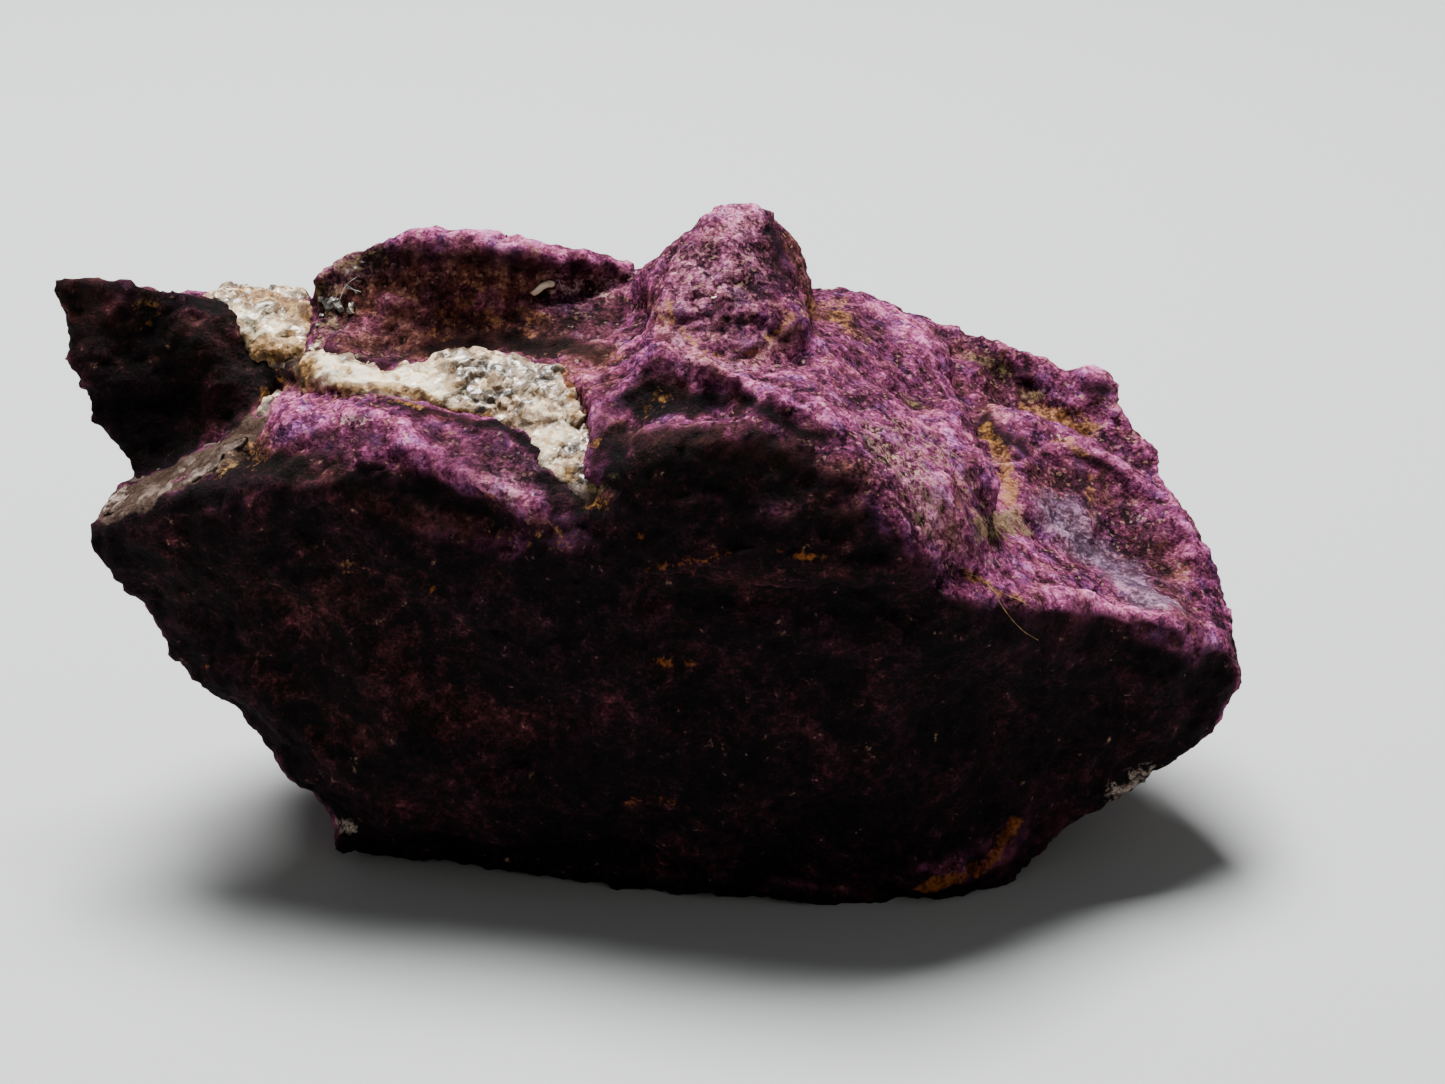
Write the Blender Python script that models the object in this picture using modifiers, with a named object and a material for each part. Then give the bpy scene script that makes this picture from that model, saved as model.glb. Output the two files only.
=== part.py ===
"""A purpurite hand specimen: a broken lump of purple manganese phosphate with a horn,
a capped lobe, a rounded peak and a brow over its front face, and one vein of pale
quartz and feldspar that runs along its left end and through its front shoulder.

Run it with: blender --background --python part.py
Units are metres, and the tables below are in millimetres. +X runs along the specimen
to the viewer's right, +Y away from the front face and +Z up. The origin is on the
resting face, under the middle of the specimen's box.
"""

import bmesh
import bpy
import numpy as np
from mathutils import Matrix, Vector, noise

MM = 0.001

# Driving dimensions
VEIN_DEPTH = 2.3 * MM
VEIN_GAP = 0.35 * MM
VEIN_INWARD = (0.0, 0.66, -0.75)
VEIN_CROWN = 0.2

# How finely the solids are made
ROCK_VOXEL = 0.5 * MM
VEIN_VOXEL = 0.4 * MM
ROCK_TRIANGLES = 6300
VEIN_TRIANGLES = 1500

# The blocks of the lump, each the convex hull of its corners. Neighbours overlap, so
# that they fuse into one stone.
BLOCKS = {
    "body": [
        (-31.6, -4.4, 18.5), (-31.2, -5.2, 17.1), (-29.6, -1.0, 18.4),
        (-26.0, -6.5, 21.0), (-23.0, -6.5, 22.2), (-17.5, -10.0, 22.6),
        (-11.7, -11.0, 21.7), (-5.7, -11.6, 21.2),
        (-3.5, -12.9, 18.6), (4.0, -13.2, 18.4), (10.0, -12.6, 18.2),
        (12.6, -10.8, 17.1), (16.0, -8.8, 15.6), (20.8, -6.2, 13.6),
        (25.7, -3.4, 11.0), (25.9, -3.0, 9.4), (25.2, -1.8, 8.4),
        (21.9, -4.2, 4.4), (19.2, -5.4, 2.6), (13.5, -7.6, -0.6),
        (6.0, -9.4, -0.6), (-1.0, -8.6, -0.6), (-9.0, -6.3, -0.6),
        (-18.5, -3.5, -0.6), (-22.3, -5.0, 5.3), (-25.9, -5.2, 11.7),
        (-15.0, -8.4, 3.2), (-2.0, -9.9, 3.6),
        (24.8, 5.0, 12.6), (22.9, 9.5, 15.8), (20.0, 12.5, 18.2),
        (17.4, 13.8, 19.8), (14.5, 14.5, 21.3), (11.6, 14.6, 22.2),
        (-4.0, 14.5, 21.5), (-14.0, 13.0, 21.5), (-22.0, 9.0, 20.0),
        (-21.0, 7.0, 8.0), (-14.0, 12.5, 6.0), (0.0, 15.5, 7.0),
        (13.0, 13.0, 6.0), (21.0, 6.0, 7.5),
        (15.5, 1.0, -0.6), (10.0, 9.0, -0.6), (-3.0, 10.0, -0.6), (-14.0, 6.0, -0.6),
    ],
    "shoulder": [
        (-23.0, -6.3, 22.6), (-21.6, -5.0, 24.7), (-15.4, -4.6, 24.9),
        (-9.5, -6.3, 24.8), (-7.3, -9.0, 23.4), (-5.7, -11.2, 21.5),
        (-11.7, -10.8, 22.0), (-17.5, -9.8, 23.0), (-22.0, 2.0, 22.0),
        (-8.0, 2.0, 22.0), (-15.0, -5.0, 18.0),
    ],
    "left_core": [
        (-29.4, -1.6, 19.2), (-26.6, -4.6, 20.4), (-22.2, -4.6, 22.6),
        (-19.0, -3.0, 25.0), (-18.5, 5.0, 25.2), (-23.6, 8.6, 24.6),
        (-26.4, 6.0, 20.4), (-22.5, 9.5, 24.4), (-22.0, 0.0, 17.0),
        (-14.0, 10.5, 26.0), (-19.5, 10.0, 25.4), (-17.0, 13.0, 23.4),
    ],
    "terrace": [
        (-21.0, 4.0, 26.6), (-20.7, -0.9, 26.0), (-17.5, -2.2, 25.6),
        (-14.0, -2.6, 25.8), (-9.3, -3.0, 26.1), (-6.5, -4.6, 26.0),
        (-20.0, 1.6, 27.0), (-12.0, 1.4, 27.2), (-4.0, 1.6, 27.4),
        (-4.0, -3.0, 26.6), (-20.0, 9.0, 25.2), (-8.0, 10.0, 25.5),
        (-19.0, 1.0, 20.0), (-6.0, 0.0, 20.0),
    ],
    "cap": [
        (-20.9, 2.4, 28.2), (-19.9, 2.6, 29.7), (-18.2, 2.4, 30.8),
        (-15.6, 2.0, 31.3), (-13.0, 1.7, 31.2), (-9.0, 2.4, 30.5), (-5.0, 4.0, 28.9),
        (-20.6, 2.0, 27.0), (-16.0, 0.9, 27.7), (-11.0, 0.7, 27.6),
        (-8.0, 1.8, 28.0), (-3.4, 4.0, 28.3), (-19.0, 9.6, 25.4),
        (-12.0, 12.4, 25.8), (-15.5, 12.0, 25.2), (-5.0, 10.0, 26.4), (-12.0, 5.0, 24.0),
    ],
    "cleft": [
        (-7.4, -4.6, 26.3), (-4.0, -3.6, 27.2), (-4.6, -8.5, 25.6),
        (-6.6, -8.2, 24.9), (-5.6, -11.2, 22.5), (-4.2, -11.5, 23.6),
        (-8.0, -2.0, 20.0), (-3.0, -3.0, 20.0),
    ],
    "peak": [
        (1.5, 3.0, 32.7), (0.5, 2.4, 32.5), (2.7, 3.5, 32.2),
        (-2.0, 1.6, 30.9), (-3.9, 2.2, 28.9), (3.9, 4.0, 30.2),
        (4.7, 4.6, 28.4), (5.0, 5.0, 27.2), (-3.4, -4.2, 27.5),
        (1.0, -5.0, 27.3), (4.2, -3.0, 27.0), (-3.0, 9.0, 26.0),
        (4.0, 10.0, 25.0), (0.5, 6.5, 30.8), (-3.0, 2.0, 20.0), (4.0, 2.0, 20.0),
    ],
    "brow": [
        (-5.8, -6.0, 25.6), (-3.9, -5.5, 27.5), (-2.7, -6.0, 28.0),
        (-0.8, -7.3, 27.9), (2.0, -9.0, 27.2), (4.8, -10.5, 26.3),
        (-3.8, -11.6, 25.2), (1.7, -12.2, 25.6), (5.8, -12.5, 24.2),
        (7.4, -12.6, 22.5), (-5.4, -11.6, 21.6), (-3.5, -13.4, 19.6),
        (4.0, -13.8, 19.3), (10.0, -12.8, 18.7), (5.0, 3.0, 26.4),
        (-4.0, 3.0, 26.0), (-5.0, -6.0, 17.0), (8.0, -6.0, 16.0),
    ],
    "spine": [
        (4.8, -10.5, 26.2), (7.4, -12.2, 22.6), (9.8, -12.2, 19.6),
        (12.0, -10.0, 18.6), (13.2, -4.0, 19.6), (13.0, 4.0, 20.9),
        (12.2, 12.8, 23.2), (9.7, 13.6, 24.0), (5.0, 9.0, 26.0),
        (5.0, 3.0, 26.6), (8.0, -6.0, 24.4), (8.0, 0.0, 16.0),
    ],
    "rim": [
        (24.6, 4.0, 12.8), (23.4, 9.0, 16.6), (21.0, 12.3, 19.2),
        (18.2, 13.7, 20.7), (16.0, 14.0, 21.9), (13.3, 13.9, 22.9), (16.2, 11.6, 20.6),
        (19.4, 9.8, 18.8), (21.9, 5.0, 15.4), (18.0, 9.0, 12.0),
    ],
    "horn": [
        (-34.4, 2.2, 28.3), (-33.9, 2.0, 27.3), (-32.9, 2.2, 29.5),
        (-30.8, 1.9, 29.4), (-26.0, 1.8, 28.5), (-24.1, 2.0, 27.8),
        (-22.5, 1.3, 26.3), (-21.2, 0.3, 24.4), (-21.6, -0.6, 23.2),
        (-25.2, -1.4, 21.3), (-29.3, -1.4, 19.4), (-31.7, 1.0, 24.3),
        (-31.0, 0.3, 22.3), (-30.0, -0.5, 20.9),
        (-31.6, 6.0, 26.4), (-25.0, 8.6, 25.2), (-21.5, 8.0, 23.5),
        (-28.0, 6.0, 19.0), (-22.0, 5.0, 19.0),
    ],
    "back_left": [
        (-30.2, 3.0, 25.2), (-30.6, 4.8, 24.0), (-29.2, 8.2, 20.0),
        (-26.2, 10.8, 15.6), (-22.5, 12.6, 20.0), (-16.5, 13.6, 23.0),
        (-14.5, 12.0, 25.2), (-23.5, 7.0, 25.6), (-25.2, 7.8, 9.8),
        (-20.0, 12.0, 7.0), (-16.0, 6.0, 5.0), (-24.4, 0.5, 11.0),
        (-13.5, 14.8, 18.5), (-12.5, 13.4, 8.5),
    ],
    "back_middle": [
        (-14.5, 12.4, 25.2), (-4.0, 13.4, 24.6), (5.8, 13.2, 24.8),
        (9.6, 14.4, 23.1), (5.2, 16.2, 16.6), (-5.5, 16.8, 18.2),
        (-14.8, 15.2, 18.6), (0.4, 15.6, 8.4), (-12.4, 13.6, 7.6),
        (9.8, 14.2, 10.2), (-12.0, 5.0, 26.0), (5.0, 6.0, 25.6),
        (-3.6, 9.0, 26.6), (0.0, 5.0, 10.0),
    ],
    "back_right": [
        (9.0, 14.6, 22.8), (17.2, 14.4, 19.0), (20.6, 12.4, 15.0),
        (11.0, 13.4, 23.2), (13.6, 13.6, 22.4),
        (17.6, 13.2, 9.4), (10.6, 14.9, 9.8), (22.6, 8.6, 11.0),
        (14.0, 6.0, 12.0), (12.0, 15.6, 15.6),
    ],
}

# Small lumps on the blocks: centre, then the three radii.
KNOBS = [
    ((-21.4, -4.6, 5.9), (1.3, 1.6, 1.3)),
    ((-18.9, -4.4, 1.7), (1.3, 1.8, 1.5)),
    ((19.6, 12.7, 19.5), (1.6, 1.6, 1.2)),
    ((-4.4, 3.6, 27.4), (1.6, 2.0, 1.2)),
    ((7.5, -7.8, 1.5), (6.0, 2.2, 1.4)),
]

# Strokes that raise the skin (plus) or press it in (minus) along a path: height,
# radius, path.
STROKES = [
    # The right-hand slope: gully, inner ridge, two basins and the lit front edge
    (-0.7, 2.3, [(12.6, 9.0, 21.0), (13.0, 4.0, 20.0), (13.7, -3.0, 18.8), (14.0, -7.6, 17.6)]),
    (0.9, 2.3, [(14.8, 6.5, 20.0), (18.5, 6.8, 18.2), (21.3, 5.2, 15.9), (23.4, 3.0, 13.4)]),
    (-1.2, 3.4, [(16.0, -1.6, 17.3), (18.6, -0.6, 15.9), (21.8, 0.2, 13.7)]),
    (-0.9, 2.2, [(15.2, 10.4, 20.4), (18.6, 9.8, 18.7), (21.4, 8.4, 16.5)]),
    (0.5, 1.6, [(14.2, -8.6, 17.0), (17.2, -7.2, 15.5), (21.2, -5.2, 13.4), (24.4, -3.0, 11.6)]),
    # The brow, the hollow under it and the crease where the peak meets it
    (0.6, 1.3, [(-4.6, -6.6, 27.0), (-2.8, -6.8, 28.0), (-0.4, -8.0, 27.8), (2.2, -9.6, 27.0)]),
    (-1.2, 1.9, [(-4.2, -9.0, 26.4), (-2.2, -9.4, 26.8), (-0.2, -10.0, 26.6)]),
    (-0.25, 1.3, [(0.6, -10.6, 26.3), (3.0, -11.2, 25.9), (5.4, -11.8, 25.0)]),
    (-0.5, 1.3, [(-3.4, -3.6, 27.6), (-0.8, -5.2, 27.6), (2.0, -5.4, 27.2), (4.6, -2.8, 26.9)]),
    (-0.4, 1.4, [(4.9, 0.5, 26.8), (5.6, 4.5, 26.6), (5.2, 8.5, 26.0)]),
    # The spine's own swells
    (0.5, 2.2, [(8.4, -8.6, 23.6), (10.2, -9.6, 20.9)]),
    (-0.5, 2.4, [(9.6, -3.0, 23.4), (9.4, 3.5, 24.0)]),
    (0.4, 1.8, [(11.6, 1.0, 21.8), (12.0, -5.5, 20.3)]),
    # The shoulder's crest and the undercut below it
    (0.45, 1.3, [(-17.0, -6.4, 24.5), (-14.9, -7.9, 23.8), (-12.4, -9.6, 22.8), (-9.0, -10.6, 22.1)]),
    (-0.6, 1.8, [(-17.2, -9.9, 21.9), (-13.6, -10.9, 21.2), (-10.2, -11.4, 20.6)]),
    (-0.4, 1.6, [(-19.6, -7.8, 23.6), (-18.0, -8.9, 23.0)]),
    # The terrace's hollow and the bite under the right end of the cap
    (-0.6, 2.2, [(-16.5, -0.6, 26.6), (-12.5, -1.0, 26.8), (-8.0, -0.8, 26.8), (-5.2, 0.2, 27.0)]),
    (-0.8, 1.2, [(-8.6, 1.8, 28.2), (-6.4, 2.6, 28.2), (-4.8, 3.2, 28.2)]),
    (-0.4, 1.8, [(-16.5, 1.4, 28.8), (-12.0, 1.1, 28.8)]),
    # The front face: a chipped band, two shallow bays and the corner above the foot
    (-0.5, 1.5, [(-3.0, -13.0, 17.6), (3.5, -13.3, 17.2), (9.0, -12.6, 16.6)]),
    (-0.8, 5.0, [(-14.0, -9.8, 13.0), (-9.0, -10.6, 9.5)]),
    (-0.6, 4.2, [(-22.5, -6.8, 15.5), (-19.5, -7.6, 10.0)]),
    (0.6, 3.0, [(-4.5, -11.6, 15.0), (-3.0, -10.8, 9.0)]),
    (-0.7, 4.6, [(12.0, -9.8, 10.5), (18.0, -6.8, 8.0)]),
    (-0.9, 2.0, [(-14.0, -7.4, 1.8), (-8.0, -8.6, 2.0), (-3.6, -9.2, 2.2)]),
    # The horn's hollow face and notched left edge
    (-0.5, 2.4, [(-28.6, 0.8, 25.6), (-27.0, 0.2, 23.6)]),
    (-0.3, 0.8, [(-32.4, 1.6, 25.6)]),
    (-0.3, 0.8, [(-31.3, 0.6, 23.0)]),
    # The back: breaks between its lobes
    (-0.7, 3.0, [(-19.5, 12.0, 21.0), (-20.0, 12.4, 15.0)]),
    (-0.6, 3.6, [(-2.0, 16.2, 19.6), (1.2, 16.6, 15.6), (0.5, 15.8, 9.0)]),
    (-0.5, 3.4, [(9.4, 15.8, 19.0), (9.2, 15.6, 14.6), (10.6, 14.8, 9.6)]),
    (0.7, 1.8, [(-13.5, 15.6, 19.0), (-9.0, 16.4, 15.0), (-3.0, 16.6, 13.5)]),
]

# The vein. Its ribbon is a band whose upper and lower edge are given at each station;
# its saddle fills the dip between the horn and the capped lobe; its ledge is a slab on
# the left end, between the horn and the front edge.
RIBBON = [
    ((-20.4, -0.8, 25.9), (-20.0, -2.6, 24.7)), ((-19.2, -1.6, 26.1), (-18.9, -3.6, 25.0)),
    ((-18.0, -1.9, 25.8), (-17.8, -4.3, 25.1)), ((-16.4, -2.1, 25.4), (-15.8, -4.9, 25.1)),
    ((-14.6, -2.2, 25.7), (-14.3, -5.2, 25.0)), ((-13.2, -2.0, 26.3), (-13.0, -5.4, 24.6)),
    ((-11.7, -2.0, 26.4), (-11.5, -5.7, 24.2)), ((-9.8, -2.5, 26.2), (-10.2, -6.2, 24.0)),
    ((-8.2, -3.4, 25.8), (-9.2, -7.0, 23.8)), ((-7.1, -4.8, 25.2), (-8.9, -8.0, 23.4)),
    ((-6.3, -6.8, 24.2), (-8.3, -9.2, 22.8)), ((-5.3, -8.6, 23.4), (-7.6, -10.1, 22.2)),
    ((-4.8, -9.8, 22.8), (-6.8, -10.9, 21.7)), ((-5.0, -10.9, 21.9), (-6.1, -11.4, 21.3)),
]
SADDLE = [
    (-26.0, 4.6, 27.0), (-25.5, 7.5, 26.4), (-21.3, 7.0, 26.5), (-20.6, 3.4, 26.5),
    (-20.3, 0.8, 25.8), (-21.2, 0.4, 24.9), (-23.3, 2.5, 26.2), (-24.8, 3.4, 26.7),
    (-20.9, -1.3, 24.2), (-20.1, -1.3, 24.6),
    (-23.0, 5.0, 22.8), (-21.5, 1.6, 22.8), (-22.5, 7.0, 23.5),
]
LEDGE = [
    (-30.8, -4.2, 18.4), (-26.4, -6.1, 20.5), (-23.8, -5.9, 21.9), (-22.8, -4.4, 22.8),
    (-22.6, -2.4, 22.6), (-25.5, -1.0, 20.9), (-28.9, -1.0, 19.5), (-30.1, -1.8, 18.8),
    (-28.6, -3.0, 17.8), (-22.8, -3.0, 21.4),
]
# Joins the three under the skin
VEIN_ROOT = [
    (-23.4, -3.2, 22.2), (-22.4, -1.6, 21.0), (-21.8, -1.2, 23.0), (-20.2, 0.2, 24.6),
    (-20.2, 0.8, 23.0), (-21.4, 2.2, 23.0), (-21.4, 1.4, 24.4),
]

# The roughness of the broken skin, as size and depth of each scale.
ROCK_CHIPS = [(8.0, 1.3), (3.6, 0.7)]
ROCK_WAVES = [(2.4, 0.2)]
VEIN_CHIPS = [(1.6, 0.3)]
VEIN_WAVES = [(1.1, 0.12)]


def collection(name):
    """The collection of that name, made at its first use."""
    found = bpy.data.collections.get(name)
    if found is None:
        found = bpy.data.collections.new(name)
        bpy.context.scene.collection.children.link(found)
    return found


def new_object(name, mesh, group="purpurite_specimen"):
    made = bpy.data.objects.new(name, mesh)
    collection(group).objects.link(made)
    return made


def object_from(shape, name):
    """The bmesh as an object. The bmesh is freed."""
    mesh = bpy.data.meshes.new(name)
    shape.to_mesh(mesh)
    shape.free()
    return new_object(name, mesh)


def add_block(shape, corners):
    """Adds the convex hull of the corners to the bmesh."""
    placed = [shape.verts.new(Vector(corner) * MM) for corner in corners]
    hull = bmesh.ops.convex_hull(shape, input=placed)
    inside = [v for v in hull["geom_interior"] if isinstance(v, bmesh.types.BMVert)]
    bmesh.ops.delete(shape, geom=inside, context="VERTS")


def add_lump(shape, centre, radii):
    """Adds a ball, scaled to the three radii, to the bmesh."""
    place = Matrix.Translation(Vector(centre) * MM) @ Matrix.Diagonal((*(Vector(radii) * MM), 1.0))
    bmesh.ops.create_icosphere(shape, subdivisions=2, radius=1.0, matrix=place)


def baked(source):
    """A plain mesh object, as the source's modifiers leave it. The source is removed."""
    name = source.name
    group = source.users_collection[0].name
    graph = bpy.context.evaluated_depsgraph_get()
    mesh = bpy.data.meshes.new_from_object(source.evaluated_get(graph))
    bpy.data.objects.remove(source)
    return new_object(name, mesh, group)


def fused(source, voxel):
    """Everything in the object made one closed skin, on a grid of the voxel's size."""
    remesh = source.modifiers.new("fuse", "REMESH")
    remesh.mode = "VOXEL"
    remesh.voxel_size = voxel
    soften = source.modifiers.new("soften", "SMOOTH")
    soften.factor = 0.5
    soften.iterations = 2
    return baked(source)


def thinned(source, triangles):
    """The object with about that many triangles."""
    source.data.calc_loop_triangles()
    thin = source.modifiers.new("thin", "DECIMATE")
    thin.ratio = min(1.0, triangles / len(source.data.loop_triangles))
    thin.use_collapse_triangulate = True
    return baked(source)


def without_crumbs(source):
    """Keeps only the object's largest connected piece."""
    shape = bmesh.new()
    shape.from_mesh(source.data)
    unseen = set(shape.verts)
    pieces = []
    while unseen:
        piece = []
        border = [unseen.pop()]
        while border:
            vertex = border.pop()
            piece.append(vertex)
            fresh = {edge.other_vert(vertex) for edge in vertex.link_edges} & unseen
            unseen -= fresh
            border.extend(sorted(fresh, key=lambda each: each.index))
        pieces.append(piece)
    pieces.sort(key=len)
    for piece in pieces[:-1]:
        bmesh.ops.delete(shape, geom=piece, context="VERTS")
    shape.to_mesh(source.data)
    shape.free()


def skin(source):
    """The object's vertices and their normals, as arrays."""
    count = len(source.data.vertices)
    points = np.empty(count * 3, np.float32)
    normals = np.empty(count * 3, np.float32)
    source.data.vertices.foreach_get("co", points)
    source.data.vertex_normals.foreach_get("vector", normals)
    return points.reshape(-1, 3).astype(float), normals.reshape(-1, 3).astype(float)


def set_skin(source, points):
    source.data.vertices.foreach_set("co", points.astype(np.float32).ravel())
    source.data.update()


def distance_to_path(points, path):
    """How far each point is from a path of straight stretches."""
    nearest = np.full(len(points), np.inf)
    stretches = list(zip(path, path[1:])) or [(path[0], path[0])]
    for start, end in stretches:
        start = np.array(start) * MM
        along = np.array(end) * MM - start
        share = (points - start) @ along / max(along @ along, 1e-18)
        foot = start + np.clip(share, 0.0, 1.0)[:, None] * along
        nearest = np.minimum(nearest, np.linalg.norm(points - foot, axis=1))
    return nearest


def stroked(source, strokes):
    """Raises or presses in the skin along each stroke's path."""
    for height, radius, path in strokes:
        points, normals = skin(source)
        share = np.clip(distance_to_path(points, path) / (radius * MM), 0.0, 1.0)
        lift = height * MM * (1.0 - share**2) ** 2
        set_skin(source, points + normals * lift[:, None])


def chip_height(point, size):
    """A height of about -0.4 to 0.6: shallow scallops that meet in sharp ridges."""
    squared = noise.voronoi(point / (size * MM), distance_metric="DISTANCE_SQUARED")[0][0]
    return min(squared, 1.0) - 0.4


def roughened(source, chips, waves):
    """Gives the skin its broken scallops and its finer unevenness."""
    points, normals = skin(source)
    lift = np.zeros(len(points))
    for index, point in enumerate(map(Vector, points)):
        for size, depth in chips:
            lift[index] += depth * chip_height(point, size)
        for size, depth in waves:
            lift[index] += depth * noise.noise(point / (size * MM))
    set_skin(source, points + normals * (lift * MM)[:, None])


def footed(source):
    """Cuts the resting face flat at z = 0."""
    shape = bmesh.new()
    shape.from_mesh(source.data)
    everything = [*shape.verts, *shape.edges, *shape.faces]
    cut = bmesh.ops.bisect_plane(
        shape, geom=everything, plane_co=(0.0, 0.0, 0.0), plane_no=(0.0, 0.0, -1.0), clear_outer=True
    )
    rim = [e for e in cut["geom_cut"] if isinstance(e, bmesh.types.BMEdge)]
    bmesh.ops.holes_fill(shape, edges=rim, sides=0)
    bmesh.ops.triangulate(shape, faces=shape.faces[:])
    shape.to_mesh(source.data)
    shape.free()


def rock_mass():
    """The purpurite: the blocks and knobs fused, stroked, broken and set on its foot."""
    shape = bmesh.new()
    for corners in BLOCKS.values():
        add_block(shape, corners)
    for centre, radii in KNOBS:
        add_lump(shape, centre, radii)
    rock = fused(object_from(shape, "purpurite_mass"), ROCK_VOXEL)
    stroked(rock, STROKES)
    roughened(rock, ROCK_CHIPS, ROCK_WAVES)
    rock = thinned(rock, ROCK_TRIANGLES)
    footed(rock)
    return rock


def vein():
    """The quartz and feldspar: ribbon, saddle and ledge fused into one."""
    shape = bmesh.new()
    inward = Vector(VEIN_INWARD) * (VEIN_DEPTH / MM)
    for start, end in zip(RIBBON, RIBBON[1:]):
        edges = [Vector(corner) for corner in (*start, *end)]
        crown = sum(edges, Vector()) / 4.0 - inward * VEIN_CROWN
        add_block(shape, [*edges, crown, *(corner + inward for corner in edges)])
    for corners in (SADDLE, LEDGE, VEIN_ROOT):
        add_block(shape, corners)
    made = fused(object_from(shape, "quartz_vein"), VEIN_VOXEL)
    roughened(made, VEIN_CHIPS, VEIN_WAVES)
    return thinned(made, VEIN_TRIANGLES)


def grooved(rock, filling):
    """Cuts the room for the filling out of the rock, with the gap all round."""
    points, normals = skin(filling)
    cutter = new_object("vein_room", filling.data.copy(), "cutters")
    set_skin(cutter, points + normals * VEIN_GAP)
    cutter = thinned(fused(cutter, VEIN_VOXEL), VEIN_TRIANGLES)
    cutter.hide_render = True
    cutter.display_type = "WIRE"
    cut = rock.modifiers.new("room", "BOOLEAN")
    cut.operation = "DIFFERENCE"
    cut.object = cutter
    made = baked(rock)
    bpy.data.objects.remove(cutter)
    without_crumbs(made)
    return made


def centred(objects):
    """Moves the objects so that the origin is under the middle of their box."""
    every = np.vstack([skin(each)[0] for each in objects])
    middle = (every.min(axis=0) + every.max(axis=0)) / 2.0
    for each in objects:
        points, _ = skin(each)
        set_skin(each, points - middle * (1.0, 1.0, 0.0))


def finish(name, colour, roughness):
    made = bpy.data.materials.new(name)
    made.use_nodes = True
    surface = made.node_tree.nodes["Principled BSDF"]
    surface.inputs["Base Color"].default_value = (*colour, 1.0)
    surface.inputs["Roughness"].default_value = roughness
    surface.inputs["Metallic"].default_value = 0.0
    return made


def main():
    for old in list(bpy.data.objects):
        bpy.data.objects.remove(old)
    rock = rock_mass()
    filling = vein()
    rock = grooved(rock, filling)
    centred([rock, filling])
    rock.data.materials.append(finish("purpurite", (0.16, 0.055, 0.13), 0.7))
    filling.data.materials.append(finish("quartz_and_feldspar", (0.72, 0.66, 0.55), 0.45))


if __name__ == "__main__":
    main()
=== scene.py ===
"""The looks of a purpurite hand specimen: a finely broken purple stone, the grainy
quartz and feldspar vein in it, a few mica flakes and pale grains, and some lint.

Lengths are in millimetres until the points are handed to Blender. Places are measured
from the spot on the floor under the camera's aim: x to the right, y away from the front
face, z up. SHIFT takes them to the frame. Stains, strokes and small pieces are placed by
where they show in the photograph, in its pixels, and are laid on the stone by sight lines
from the camera.
"""

import math

import bmesh
import bpy
import numpy as np
from mathutils import Matrix, Vector, noise
from mathutils.bvhtree import BVHTree


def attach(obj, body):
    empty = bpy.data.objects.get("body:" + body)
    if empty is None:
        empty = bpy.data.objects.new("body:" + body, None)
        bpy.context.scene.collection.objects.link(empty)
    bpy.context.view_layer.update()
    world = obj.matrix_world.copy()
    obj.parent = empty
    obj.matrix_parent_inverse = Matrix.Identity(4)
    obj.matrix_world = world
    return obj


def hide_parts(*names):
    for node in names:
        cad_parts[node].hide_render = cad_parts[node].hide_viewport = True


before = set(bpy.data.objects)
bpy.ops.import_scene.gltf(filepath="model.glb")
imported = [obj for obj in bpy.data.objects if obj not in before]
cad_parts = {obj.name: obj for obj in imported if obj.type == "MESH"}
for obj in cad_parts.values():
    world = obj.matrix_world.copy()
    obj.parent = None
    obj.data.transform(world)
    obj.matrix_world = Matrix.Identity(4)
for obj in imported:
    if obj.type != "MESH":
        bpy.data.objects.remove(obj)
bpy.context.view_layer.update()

# Keeps the swaying of the skin and the stains the same in every run
noise.seed_set(3)

MM = 0.001
SHIFT = Vector((3.69, -1.50, 0.0))

# How finely the pieces are made
ROCK_GRID = 0.275
VEIN_GRID = 0.13

# How far the edges of a painted patch reach and sway, as shares of its radius
REACH = 1.3
FRAY = 0.6

# The photograph's view
PHOTO = (1445.0, 1084.0)
LENS = 85.0
SENSOR = 36.0
AIM = Vector((0.0, 0.0, 15.5))
DISTANCE = 170.6
ELEVATION = math.radians(22.0)
BACK = Vector((0.0, -math.cos(ELEVATION), math.sin(ELEVATION)))
UP = Vector((0.0, math.sin(ELEVATION), math.cos(ELEVATION)))

# The way into the stone at the vein, and the way that the stone's front face looks, where shade is
# painted
INWARD = Vector((0.0, 0.66, -0.75))
FRONT = Vector((0.0, -0.93, -0.36))

# The stone that fills the room round the vein: how far it swells, and sinks inward
BED_SWELL = 0.45
BED_SINK = 0.35

# The vein's crust: how far it stands out, swells at its sides and sinks at its ledge
VEIN_RISE = 0.08
VEIN_SWELL = 0.28
LEDGE_SINK = 0.35

# Layers of the broken skin: height, size, and an offset that sets each apart
SKIN_STEPS = [
    (0.17, 2.6, Vector((0.0, 0.0, 0.0))),
    (0.13, 1.15, Vector((7.0, 3.0, 1.0))),
    (0.08, 0.6, Vector((2.0, 9.0, 5.0))),
]
SKIN_RIDGES = [
    (0.12, 2.4, Vector((0.0, 0.0, 0.0))),
    (0.08, 0.95, Vector((4.0, 0.0, 2.0))),
]

# The vein's grains: height, size
VEIN_STEPS = [(0.32, 1.1), (0.16, 0.5)]

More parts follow.
